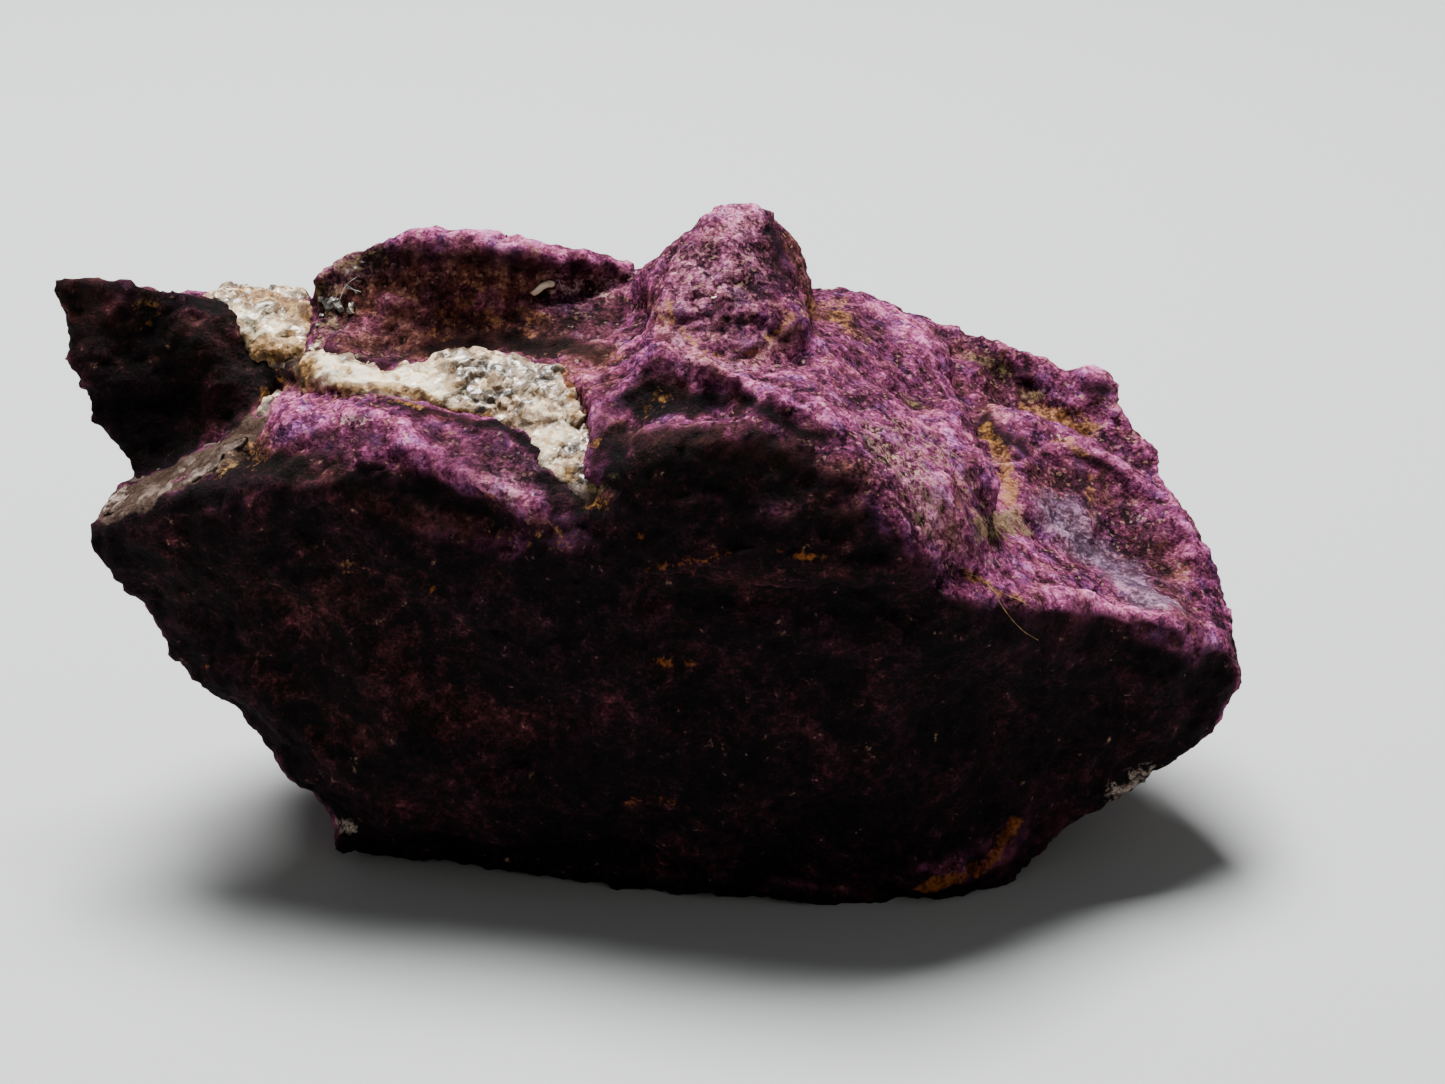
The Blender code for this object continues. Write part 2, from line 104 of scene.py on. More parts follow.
# Relief of the stone: height, radius, path in the photograph
RELIEF = [
    # Step line across the front, and the recess under it
    (0.22, 0.5, [(640, 570), (705, 560), (770, 556), (830, 560), (880, 566)]),
    (-0.3, 1.0, [(650, 600), (730, 598), (810, 592), (880, 590)]),
    # The fold under the shoulder's crest, and the ends of its lower edge
    (0.15, 0.8, [(380, 421), (405, 425), (411, 447), (427, 466), (440, 472)]),
    (-0.35, 1.3, [(390, 470), (430, 492), (470, 502)]),
    (0.35, 1.2, [(285, 400), (300, 412)]),
    # Lit edges of the right-hand slope
    (0.25, 0.8, [(990, 560), (1030, 586), (1070, 594), (1120, 606), (1165, 624)]),
    (0.25, 0.7, [(1085, 450), (1112, 463), (1138, 479), (1172, 504), (1188, 530)]),
    # Brow's crest
    (0.25, 0.7, [(628, 352), (645, 340), (666, 335), (690, 350)]),
    # Low place on the cap's top
    (-0.35, 1.3, [(506, 232), (526, 235)]),
    # Cleavage steps in the foot of the peak, and the crease round it
    (-0.11, 0.2, [(684, 322), (698, 317), (712, 316)]),
    (-0.09, 0.18, [(720, 319), (744, 322)]),
    (-0.09, 0.18, [(694, 331), (712, 328), (736, 331)]),
    (-0.15, 0.3, [(668, 304), (674, 324), (688, 342), (712, 355), (738, 361), (760, 350), (790, 320)]),
    # Knob on the far rim
    (0.5, 1.4, [(1090, 376), (1100, 378)]),
    # Chipped foot of the front face
    (0.5, 0.9, [(760, 882), (820, 893), (880, 896)]),
    (-0.4, 0.8, [(975, 868), (997, 850), (1012, 828)]),
]

# Where the stone's form is pushed: move, radius, path in the photograph
PUSHES = [
    # The horn's corner goes back, so that the saddle shows beside it
    ((-0.75, 0.0, -0.7), 2.4, [(226, 298), (240, 308), (254, 324), (264, 340)]),
    # The horn narrows under its tip and is broader lower down
    ((0.65, 0.0, 0.0), 2.3, [(56, 320), (66, 340), (80, 362)]),
    ((-0.4, 0.0, 0.0), 1.8, [(112, 424), (120, 440)]),
]

# Where the stone's form is softened: strength, radius, path in the photograph
SOFT_ROUNDS = 150
SOFTENED = [
    # The end of the spine runs out into the slope beside it
    (1.0, 2.9, [(986, 500), (994, 530), (1000, 560)]),
]

# Stains, painted light and painted shade on the stone: strength, radius, path in the photograph

# Yellow-brown crust, mostly in creases
OCHRE = [
    # Under the vein, and where it meets the spine
    (0.6, 0.4, [(322, 390), (350, 396), (372, 396), (396, 400), (424, 408)]),
    (0.9, 0.4, [(568, 372), (574, 400), (578, 425), (596, 446)]),
    (0.6, 0.6, [(588, 504), (604, 500)]),
    # Crust on the left end
    (0.3, 0.6, [(252, 446), (238, 454), (222, 468), (212, 480)]),
    (0.4, 0.8, [(250, 448), (262, 460)]),
    # Horn
    (0.45, 0.8, [(150, 308), (152, 316)]),
    (0.4, 1.0, [(270, 392), (296, 378)]),
    # Capped lobe and terrace
    (0.5, 0.4, [(470, 282), (480, 290)]),
    (0.5, 0.3, [(456, 294), (466, 304)]),
    (0.35, 1.2, [(440, 318), (452, 334)]),
    (0.3, 1.2, [(490, 316), (540, 326)]),
    # Creases round the foot of the peak
    (0.75, 0.3, [(666, 300), (673, 322), (686, 339), (706, 352), (737, 361)]),
    (0.55, 0.3, [(737, 361), (757, 350), (777, 332), (793, 317)]),
    (0.5, 0.7, [(793, 317), (806, 308), (820, 304)]),
    (0.25, 0.9, [(782, 296), (790, 312)]),
    (0.5, 0.9, [(835, 300), (848, 330), (862, 336)]),
    (0.45, 0.6, [(650, 300), (664, 318)]),
    # Hollow under the brow
    (0.5, 0.6, [(662, 398), (650, 408), (644, 414)]),
    # Gully and the slope beyond it
    (0.9, 0.8, [(986, 430), (996, 448), (1006, 474), (1012, 500)]),
    (0.9, 1.1, [(1034, 412), (1058, 418), (1086, 430)]),
    (0.4, 0.8, [(1096, 402), (1112, 404)]),
    (0.7, 0.6, [(1058, 440), (1082, 446)]),
    (0.6, 0.5, [(1088, 474), (1092, 512)]),
    (0.8, 0.4, [(964, 574), (986, 584), (1000, 594), (1016, 598)]),
    (0.5, 0.6, [(955, 480), (962, 510)]),
    # Front face
    (0.35, 0.7, [(334, 572), (352, 566)]),
    (0.3, 1.0, [(500, 520), (560, 540)]),
]
# Greenish brown crust
OLIVE = [
    (0.8, 1.2, [(980, 530), (1000, 528), (1020, 518)]),
    (0.6, 0.7, [(1020, 392), (1040, 396)]),
    (0.55, 1.2, [(340, 262), (366, 256), (386, 262)]),
    (0.6, 1.3, [(322, 290), (332, 316), (326, 330)]),
    (0.2, 1.6, [(400, 275), (470, 268), (540, 282)]),
    (0.5, 0.8, [(908, 402), (920, 406)]),
    (0.5, 0.9, [(970, 356), (1000, 368)]),
    (0.4, 0.8, [(862, 336), (876, 334)]),
    (0.25, 0.9, [(212, 472), (232, 458)]),
    (0.5, 0.8, [(600, 488), (614, 480)]),
]
# Bright rust in specks along the front face's steps, and along its foot
ORANGE = [
    (0.6, 0.26, [(646, 569), (680, 565), (706, 559), (732, 552)]),
    (0.6, 0.22, [(774, 554), (800, 554), (826, 558)]),
    (0.8, 0.16, [(776, 553), (796, 556), (816, 558)]),
    (0.7, 0.3, [(656, 661), (690, 663)]),
    (0.5, 0.3, [(624, 802), (650, 798), (680, 802)]),
    (0.8, 0.3, [(635, 536), (640, 536)]),
    (0.9, 0.26, [(429, 590), (431, 590)]),
    (0.9, 0.3, [(490, 497), (493, 499)]),
    (0.5, 0.3, [(205, 664), (216, 662)]),
    (1.0, 0.5, [(924, 890), (950, 880), (975, 870), (994, 856), (1006, 838), (1013, 822)]),
]
# Reddish clouds in the dark face
RED = [
    (1.0, 1.5, [(322, 738), (348, 728), (372, 742)]),
    (0.7, 1.4, [(250, 668), (290, 690), (330, 700)]),
    (0.7, 1.2, [(206, 668), (240, 664)]),
    (0.8, 0.9, [(330, 575), (358, 565)]),
    (1.0, 0.8, [(370, 498), (384, 514)]),
    (1.0, 0.8, [(404, 516), (430, 526)]),
    (0.6, 1.6, [(400, 640), (440, 620), (470, 660)]),
    (0.6, 1.6, [(430, 720), (470, 735), (500, 720)]),
    (0.8, 1.3, [(708, 576), (740, 586), (772, 580)]),
    (0.9, 0.8, [(814, 572), (846, 574)]),
    (0.7, 0.9, [(640, 574), (690, 574)]),
    (0.8, 0.7, [(624, 804), (680, 806)]),
    (0.7, 0.9, [(698, 826), (722, 836)]),
    (0.7, 0.9, [(790, 870), (840, 888), (890, 896)]),
    (0.6, 2.0, [(640, 480), (690, 500), (750, 490)]),
    (0.5, 1.8, [(760, 470), (820, 500)]),
    (0.4, 2.0, [(200, 540), (240, 560), (280, 600)]),
    (0.5, 1.0, [(208, 320), (230, 326)]),
    (0.5, 0.6, [(138, 290), (146, 294)]),
    (0.3, 2.5, [(560, 560), (520, 620)]),
    (0.6, 1.2, [(630, 660), (690, 668)]),
    (0.8, 2.2, [(300, 610), (350, 600), (400, 590)]),
    (0.9, 2.0, [(390, 640), (420, 700), (470, 715), (520, 720)]),
    (0.5, 1.2, [(480, 320), (540, 318)]),
]
# Brown rather than purple
BROWN = [
    # Front of the capped lobe, the terrace under it, and the cleft beside them
    (1.0, 1.5, [(345, 300), (400, 280), (470, 275), (530, 284)]),
    (0.9, 1.7, [(400, 325), (480, 325), (560, 328)]),
    (0.6, 1.2, [(346, 326), (372, 334), (400, 346)]),
    (1.0, 1.4, [(352, 346), (420, 350), (490, 346), (560, 348), (600, 354)]),
    (0.5, 1.6, [(600, 290), (590, 340), (600, 380)]),
    # Horn
    (0.9, 2.6, [(72, 306), (110, 326), (160, 336), (222, 350)]),
    (0.8, 0.9, [(134, 452), (190, 436), (250, 405)]),
    (0.6, 1.0, [(270, 392), (300, 380)]),
    # Round the foot of the peak, and its right side
    (0.8, 1.3, [(790, 240), (806, 280), (810, 310)]),
    (0.5, 0.6, [(650, 300), (664, 330), (700, 358), (750, 362), (790, 330)]),
    # Brow's band and the face under it
    (0.8, 1.0, [(612, 436), (660, 440), (720, 446), (790, 456), (850, 474)]),
    (0.5, 1.6, [(640, 470), (740, 490), (840, 510)]),
    (0.6, 0.8, [(640, 395), (680, 390)]),
    # Under the shoulder
    (0.8, 1.2, [(250, 452), (300, 470), (350, 484), (400, 512), (470, 524)]),
    (0.5, 4.0, [(200, 560), (300, 620), (340, 700), (370, 740)]),
    # Right-hand slope
    (0.5, 1.2, [(955, 345), (1000, 372), (990, 420)]),
    (0.5, 1.2, [(1040, 480), (1080, 480), (1120, 510), (1150, 550)]),
    (0.5, 1.2, [(1150, 540), (1170, 580), (1186, 616)]),
    (0.7, 1.0, [(834, 312), (850, 326), (858, 336)]),
    (0.4, 0.8, [(940, 530), (970, 548)]),
]
# Pale crust, and two places of painted light
PALE = [
    # Foot and ledge
    (0.8, 0.5, [(340, 824), (348, 828)]),
    (0.7, 0.8, [(1118, 792), (1142, 776)]),
    (0.5, 1.0, [(100, 502), (122, 500)]),
    # Shoulder, capped lobe and right-hand slope
    (0.4, 0.8, [(504, 500), (520, 508), (536, 510)]),
    (0.5, 0.7, [(345, 416), (368, 424)]),
    (0.8, 0.35, [(318, 348), (312, 346)]),
    # Painted light on the cap's right end and at the foot of the spine
    (0.35, 1.0, [(562, 284), (604, 290)]),
    (0.35, 0.8, [(984, 556), (1000, 566)]),
]
# Painted greyish sheen in the basin, where the stone is also smoother
SILKY = [
    (0.7, 1.5, [(1056, 516), (1080, 544), (1104, 562), (1128, 580), (1148, 600)]),
    (0.6, 1.2, [(1060, 506), (1076, 510)]),
]
# Brighter purple: partly the stone's pinker crests, partly painted light on lit tops and where the lamp
# reaches little
PINK_AND_PAINTED_LIGHT = [
    # Shoulder
    (1.0, 1.1, [(268, 412), (285, 396), (310, 392), (345, 415)]),
    (1.0, 1.1, [(345, 415), (372, 420), (400, 426), (412, 446), (434, 468)]),
    (0.7, 1.4, [(440, 470), (500, 494), (540, 504), (562, 508)]),
    (0.5, 2.0, [(300, 440), (330, 480)]),
    # Horn, capped lobe and terrace
    (0.3, 0.4, [(66, 278), (100, 280)]),
    (0.9, 0.7, [(378, 238), (440, 234), (500, 240), (560, 254), (620, 270)]),
    (0.5, 1.4, [(370, 330), (400, 345), (425, 356)]),
    (1.0, 1.5, [(566, 286), (606, 290)]),
    (0.6, 2.0, [(600, 340), (590, 400), (600, 430)]),
    # Peak
    (0.9, 1.2, [(715, 232), (740, 214), (756, 208)]),
    (0.7, 1.4, [(684, 280), (702, 290), (720, 296)]),
    (0.7, 0.9, [(620, 284), (640, 288)]),
    (0.8, 1.0, [(700, 320), (720, 344), (764, 342), (784, 350)]),
    (0.6, 1.2, [(766, 346), (815, 346)]),
    # Top of the brow
    (1.0, 2.0, [(626, 352), (645, 342), (668, 338), (690, 350)]),
    (0.4, 1.0, [(700, 372), (720, 362), (760, 366)]),
    (0.7, 1.2, [(712, 366), (735, 378)]),
    (0.8, 1.0, [(700, 366), (735, 380), (787, 390), (823, 404), (860, 428)]),
    # Spine
    (0.9, 1.8, [(885, 310), (905, 325), (930, 350), (940, 370)]),
    (0.9, 2.0, [(900, 430), (930, 420), (950, 440), (940, 470)]),
    (0.8, 1.4, [(900, 490), (930, 524), (960, 552), (1000, 560), (1040, 558), (1056, 530)]),
    (0.9, 1.0, [(984, 546), (1000, 560)]),
    # Right-hand slope and its front edge
    (0.7, 1.0, [(1076, 376), (1094, 374)]),
    (0.35, 2.6, [(1020, 420), (1060, 450), (1100, 480), (1120, 520)]),
    (0.5, 1.6, [(985, 440), (1000, 490), (1010, 530)]),
    (0.7, 0.7, [(1084, 450), (1112, 463), (1138, 479), (1172, 504), (1188, 525), (1186, 552)]),
    (0.9, 1.0, [(990, 562), (1020, 584), (1060, 594), (1110, 604), (1165, 626), (1210, 650)]),
]
# Sprinkled with tan, and one place of painted light
SPECKLED = [
    (0.75, 1.9, [(700, 250), (690, 280), (720, 300), (745, 270)]),
    (0.5, 1.3, [(670, 300), (680, 330), (730, 340)]),
    (0.4, 1.3, [(690, 356), (740, 366), (784, 346)]),
    (0.6, 1.5, [(744, 212), (736, 240)]),
    (0.6, 1.6, [(505, 480), (550, 470)]),
    (0.7, 1.4, [(335, 270), (372, 262)]),
    # Painted light on the cap's right end
    (0.8, 1.4, [(556, 284), (606, 290)]),
    (0.5, 2.0, [(900, 470), (940, 520)]),
]
# Where fine tan blades lie side by side, on the spine
GRASSY = [
    (1.0, 1.6, [(890, 450), (915, 470), (925, 500)]),
    (0.7, 1.5, [(880, 440), (940, 450), (955, 480)]),
]
# Nearly black: partly dark stone, partly painted shade on faces turned from the lamp, in hollows, in
# recesses and under the vein
DARK_AND_SHADE = [
    # The horn, whose face is turned from the lamp and painted with shade
    (1.0, 3.6, [(110, 330), (150, 380), (190, 370)]),
    (1.0, 2.4, [(215, 340), (255, 372), (235, 395)]),
    (1.0, 2.4, [(120, 400), (140, 440), (190, 420)]),
    (1.0, 1.4, [(58, 300), (72, 330), (84, 368), (98, 410), (116, 440), (132, 462)]),
    (0.8, 0.9, [(66, 282), (120, 290), (190, 302), (235, 325)]),
    (1.0, 1.2, [(124, 456), (150, 464), (184, 450)]),
    (1.0, 1.6, [(192, 300), (218, 306), (240, 324), (260, 346), (280, 368)]),
    (1.0, 1.2, [(94, 536), (130, 522), (180, 506), (232, 486), (276, 474)]),
    (1.0, 0.9, [(218, 480), (236, 466), (252, 456)]),
    (0.8, 0.9, [(104, 540), (126, 530)]),
    # Facet under the shoulder's crest, and the painted shadow under the vein
    (0.8, 0.8, [(370, 470), (400, 486), (436, 500)]),
    (0.9, 1.2, [(236, 470), (280, 470), (336, 472)]),
    (0.55, 0.7, [(320, 434), (342, 452)]),
    (0.4, 1.6, [(440, 436), (490, 452), (530, 472)]),
    (0.5, 1.0, [(450, 460), (494, 474)]),
    (0.5, 0.6, [(358, 434), (378, 440)]),
    (0.9, 0.6, [(396, 402), (424, 409)]),
    (1.0, 0.5, [(424, 410), (465, 420), (498, 424), (520, 436), (538, 450)]),
    (1.0, 0.9, [(548, 482), (572, 500), (600, 514)]),
    (0.7, 1.1, [(560, 524), (590, 534)]),
    # Painted shade in the hollow under the brow, and in the crevice that runs on from it
    (1.0, 0.7, [(630, 400), (655, 394), (690, 398), (722, 400)]),
    (0.8, 0.5, [(732, 392), (752, 402), (770, 410)]),
    (0.8, 0.5, [(760, 408), (780, 420), (800, 432), (820, 437)]),
    (0.6, 0.5, [(618, 404), (640, 388), (664, 384), (676, 388)]),
    (0.9, 0.8, [(628, 406), (660, 410), (698, 408)]),
    (0.6, 1.2, [(600, 420), (606, 450)]),
    (0.3, 1.2, [(604, 396), (600, 420)]),
    # Peak's right side in painted shade, and the cleavage steps in its foot
    (0.6, 1.0, [(775, 240), (782, 270)]),
    (0.3, 1.0, [(772, 300), (788, 322)]),
    (0.5, 0.22, [(682, 321), (698, 316), (712, 317)]),
    (0.45, 0.2, [(722, 319), (742, 322)]),
    (0.6, 0.2, [(692, 332), (712, 329), (736, 332)]),
    # Face of the brow and the corner beside the vein's end, in painted shade
    (0.65, 1.1, [(630, 434), (700, 438), (790, 451)]),
    (1.0, 1.8, [(625, 470), (700, 465), (780, 478), (820, 500)]),
    (1.0, 1.2, [(614, 440), (612, 480)]),
    (0.7, 0.7, [(860, 540), (900, 562), (930, 580)]),
    # Capped lobe and terrace
    (1.0, 1.2, [(312, 290), (316, 264), (327, 250), (346, 246)]),
    (0.5, 0.6, [(360, 256), (430, 254), (500, 260), (540, 268)]),
    (0.3, 1.6, [(400, 326), (480, 326), (560, 330)]),
    (0.4, 0.7, [(346, 344), (372, 348)]),
    (0.6, 0.5, [(330, 354), (360, 363), (385, 364), (410, 355), (432, 346)]),
    (0.7, 1.1, [(436, 346), (490, 344), (560, 344), (590, 350)]),
    (0.7, 1.0, [(536, 344), (588, 350)]),
    (0.35, 1.0, [(352, 346), (420, 348)]),
    (0.35, 1.4, [(570, 310), (610, 318), (600, 334)]),
    # Right-hand slope
    (0.4, 0.8, [(970, 360), (1010, 370)]),
    (0.25, 0.8, [(1060, 480), (1100, 490), (1130, 515)]),
    (0.25, 1.6, [(1146, 560), (1168, 596), (1190, 630)]),
    (0.8, 1.2, [(984, 430), (1010, 440)]),
    (0.45, 1.1, [(834, 312), (850, 320)]),
    (0.3, 1.3, [(850, 312), (884, 326)]),
    (0.6, 0.5, [(905, 402), (920, 405)]),
    (0.7, 0.4, [(986, 415), (1000, 440)]),
    # Painted shade on the step line across the front, and in the recess over the foot
    (1.0, 0.8, [(640, 566), (705, 556), (770, 552), (830, 556), (880, 562)]),
    (1.0, 1.2, [(380, 842), (500, 848), (620, 855), (690, 868)]),
    (1.0, 1.1, [(636, 606), (700, 606), (780, 606), (870, 600)]),
]
# Faces the front and is still lit, so the front face's painted shade is lifted here
STILL_LIT = [
    (0.9, 1.1, [(396, 452), (425, 462), (450, 476), (490, 494), (530, 506), (556, 510)]),
    (0.8, 0.9, [(688, 374), (724, 378)]),
    (1.0, 1.8, [(884, 486), (912, 518), (942, 548), (990, 566), (1040, 580)]),
    (0.8, 1.0, [(864, 490), (884, 506)]),
    (1.0, 2.3, [(345, 290), (400, 276), (470, 278), (540, 288), (600, 300)]),
    (1.0, 2.0, [(400, 320), (480, 325), (560, 328)]),
    (0.6, 1.2, [(625, 440), (700, 445), (780, 455), (840, 470)]),
    (0.4, 1.2, [(960, 862), (1000, 850), (1020, 830)]),
    (0.6, 0.8, [(1140, 636), (1170, 646), (1195, 656)]),
]
# Grey-brown like the ledge, on the left end and beside the saddle
SLAB = [
    (1.0, 1.4, [(106, 508), (150, 488), (190, 466), (225, 446), (250, 430)]),
    (0.9, 0.6, [(108, 516), (150, 500), (186, 484), (210, 470)]),
    (1.0, 1.0, [(118, 498), (165, 474), (205, 454), (240, 434)]),
    (0.9, 0.8, [(290, 352), (300, 366), (304, 384)]),
]

# Where the vein's crust sinks: height, radius, path in the photograph
VEIN_RELIEF = [
    (-1.2, 0.6, [(378, 369), (388, 371), (400, 369)]),
    (-0.6, 0.8, [(246, 452), (230, 462)]),
    (-0.7, 0.8, [(292, 356), (300, 370), (304, 384)]),
]

# Stains on the vein: strength, radius, path in the photograph
VEIN_WHITE = [
    (1.0, 1.1, [(325, 368), (350, 370), (375, 378), (410, 378), (440, 390)]),
    (0.8, 0.8, [(545, 445), (565, 430)]),
    (0.6, 0.6, [(540, 465), (556, 470)]),
    (0.9, 1.0, [(236, 316), (256, 334), (272, 332), (282, 322)]),
]
VEIN_GLASS = [
    (1.0, 1.3, [(460, 372), (500, 390), (530, 380)]),
    (0.8, 1.0, [(470, 400), (500, 405)]),
    (1.0, 1.2, [(575, 440), (590, 480)]),
    (1.0, 1.0, [(206, 296), (236, 300), (256, 318)]),
]
VEIN_RUST = [
    (0.8, 0.4, [(440, 350), (480, 346), (520, 348), (556, 360)]),
    (0.8, 0.5, [(420, 404), (450, 410), (490, 418)]),
    (1.0, 0.42, [(330, 388), (360, 386), (392, 386), (415, 392), (440, 408)]),
    (0.8, 0.3, [(385, 372), (400, 378)]),
    (0.8, 0.4, [(572, 380), (574, 420), (590, 446)]),
    (1.0, 1.1, [(284, 360), (296, 370), (306, 382)]),
    (1.0, 1.1, [(590, 462), (594, 476), (600, 492)]),
    (0.6, 0.8, [(562, 468), (576, 478)]),
    (0.8, 0.9, [(290, 318), (300, 330)]),
    (0.8, 0.5, [(215, 466), (240, 444), (252, 424)]),
    (1.0, 1.1, [(246, 292), (262, 294), (284, 302), (302, 306), (303, 330)]),
    (1.0, 1.0, [(262, 344), (280, 350), (296, 346)]),
    (0.6, 0.4, [(378, 388), (396, 390)]),
]
# Flat and brown
VEIN_LEDGE = [
    (1.0, 4.4, [(110, 504), (150, 484), (184, 466)]),
    (1.0, 3.2, [(190, 463), (214, 455), (228, 448), (246, 435)]),
    (1.0, 1.4, [(256, 416), (266, 402)]),
    (1.0, 0.9, [(284, 376), (294, 380), (300, 368)]),
    (1.0, 0.8, [(556, 492), (574, 498), (590, 502)]),
]
# Paler line along the ledge
VEIN_EDGE = [
    (0.9, 0.5, [(118, 506), (150, 495), (180, 483), (206, 470)]),
]

# The values painted on each piece, by the names that its finish reads
STAINS = {
    "ochre": OCHRE,
    "olive": OLIVE,
    "orange": ORANGE,
    "red": RED,
    "brown": BROWN,
    "pale": PALE,
    "silky": SILKY,
    "pink_and_painted_light": PINK_AND_PAINTED_LIGHT,
    "speckled": SPECKLED,
    "grassy": GRASSY,
    "dark_and_shade": DARK_AND_SHADE,
}
VEIN_STAINS = {"white": VEIN_WHITE, "glass": VEIN_GLASS, "rust": VEIN_RUST, "edge": VEIN_EDGE}

# The stone's tones, from dull to bright: value, colour
ROSE = [
    (0.28, (0.016, 0.005, 0.008)),
    (0.48, (0.090, 0.019, 0.046)),
    (0.66, (0.23, 0.048, 0.125)),
    (0.86, (0.56, 0.13, 0.32)),
    (1.08, (0.95, 0.33, 0.60)),
]
VIOLET = [
    (0.28, (0.012, 0.005, 0.012)),
    (0.50, (0.06, 0.018, 0.062)),
    (0.70, (0.16, 0.052, 0.17)),
    (0.98, (0.46, 0.19, 0.46)),
]
RUSSET = [
    (0.28, (0.016, 0.007, 0.006)),
    (0.50, (0.075, 0.024, 0.020)),
    (0.70, (0.19, 0.065, 0.048)),
    (0.98, (0.46, 0.21, 0.15)),
]
SHADE = [
    (0.40, (0.004, 0.0035, 0.0035)),
    (0.58, (0.009, 0.005, 0.005)),
    (0.78, (0.028, 0.008, 0.010)),
    (1.00, (0.12, 0.024, 0.032)),
]
SHADE_RED = [(0.3, (0.010, 0.005, 0.005)), (0.6, (0.045, 0.012, 0.013)), (0.95, (0.16, 0.040, 0.042))]
TAN = [(0.35, (0.035, 0.018, 0.024)), (0.6, (0.24, 0.13, 0.12)), (1.0, (0.66, 0.44, 0.37))]
SLAB_TONES = [(0.3, (0.034, 0.019, 0.013)), (0.6, (0.070, 0.044, 0.034)), (0.9, (0.14, 0.10, 0.08))]
SHEEN = [(0.35, (0.14, 0.08, 0.135)), (0.85, (0.48, 0.36, 0.47))]
DARK_FIBRE = (0.025, 0.008, 0.014)
TAN_BLADE = (0.50, 0.37, 0.22)
TAN_CRUMB = (0.42, 0.26, 0.16)

# Colours of the stone's crusts, deep and bright
CRUSTS = {
    "ochre": ((0.09, 0.032, 0.010), (0.40, 0.19, 0.055)),
    "olive": ((0.05, 0.038, 0.014), (0.25, 0.19, 0.075)),
    "orange": ((0.10, 0.026, 0.006), (0.32, 0.10, 0.022)),
    "pale": ((0.24, 0.16, 0.13), (0.62, 0.50, 0.42)),
}

# The vein's tones, from dull to bright
FELDSPAR = [(0.28, (0.12, 0.07, 0.036)), (0.50, (0.42, 0.28, 0.17)), (0.72, (0.92, 0.71, 0.47))]
QUARTZ = [(0.32, (0.035, 0.026, 0.018)), (0.56, (0.19, 0.145, 0.105)), (0.8, (0.58, 0.49, 0.38))]
CREAM = [(0.26, (0.74, 0.49, 0.24)), (0.5, (1.0, 0.88, 0.64))]
RUST = [(0.32, (0.10, 0.045, 0.014)), (0.55, (0.27, 0.135, 0.04)), (0.8, (0.66, 0.41, 0.15))]
LEDGE_TONES = [(0.3, (0.045, 0.026, 0.018)), (0.55, (0.080, 0.052, 0.040)), (0.8, (0.15, 0.11, 0.088))]
LEDGE_EDGE = (0.20, 0.14, 0.11)
JOINT = (0.08, 0.045, 0.022)

# Tones of the small pieces
MICA_GREYS = [(0.35, (0.09, 0.08, 0.07)), (0.65, (0.34, 0.32, 0.29))]
CHIP_CREAMS = [(0.3, (0.55, 0.33, 0.15)), (0.5, (0.98, 0.86, 0.64))]
LINT_WHITES = [(0.4, (0.40, 0.40, 0.40)), (0.6, (0.75, 0.75, 0.75))]
HAIR_GOLDS = [(0.4, (0.14, 0.07, 0.02)), (0.6, (0.40, 0.24, 0.08))]

# Small pieces: where each shows, then its size
MICA_FLAKES = [
    ((330, 303), 0.5), ((338, 305), 0.5), ((334, 300), 0.4), ((341, 309), 0.3), ((352, 306), 0.28),
    ((350, 312), 0.2), ((322, 299), 0.2), ((322, 316), 0.16), ((348, 272), 0.2), ((356, 268), 0.16),
    ((318, 326), 0.14), ((362, 262), 0.12),
]
PALE_CHIPS = [
    ((538, 287), 0.75), ((352, 309), 0.3), ((714, 298), 0.18), ((719, 293), 0.1), ((316, 347), 0.3),
    ((312, 350), 0.2),
]

# The path of each thread in the photograph
LINT = [
    [(357, 277), (352, 280), (347, 284), (343, 291), (340, 299)],
    [(345, 287), (350, 289), (356, 290), (361, 292)],
    [(346, 285), (351, 287), (357, 293)],
    [(559, 280), (560, 285), (563, 290)],
]
GOLDEN_HAIR = [
    [(964, 573), (978, 577), (990, 586), (996, 596), (1003, 608), (1012, 620), (1024, 632), (1038, 640)],
    [(990, 586), (1004, 594), (1020, 600), (1036, 610)],
]


class Socket:
    """A node's output, with the operators that the finishes use."""

    def __init__(self, finish, output):
        self.finish = finish
        self.output = output

    def maths(self, operation, other, swap=False):
        values = (other, self) if swap else (self, other)
        return self.finish.node("ShaderNodeMath", {"operation": operation}, *values)

    def __add__(self, other):
        return self.maths("ADD", other)

    def __radd__(self, other):
        return self.maths("ADD", other)

    def __sub__(self, other):
        return self.maths("SUBTRACT", other)

    def __rsub__(self, other):
        return self.maths("SUBTRACT", other, swap=True)

    def __mul__(self, other):
        return self.maths("MULTIPLY", other)

    def __rmul__(self, other):
        return self.maths("MULTIPLY", other)

    def clamped(self):
        return self.finish.node("ShaderNodeClamp", {}, self)

    def between(self, low, high):
        """0 at or below low, 1 at or above high, and smooth between."""
        settings = {"interpolation_type": "SMOOTHSTEP"}
        return self.finish.node("ShaderNodeMapRange", settings, self, low, high, 0.0, 1.0)


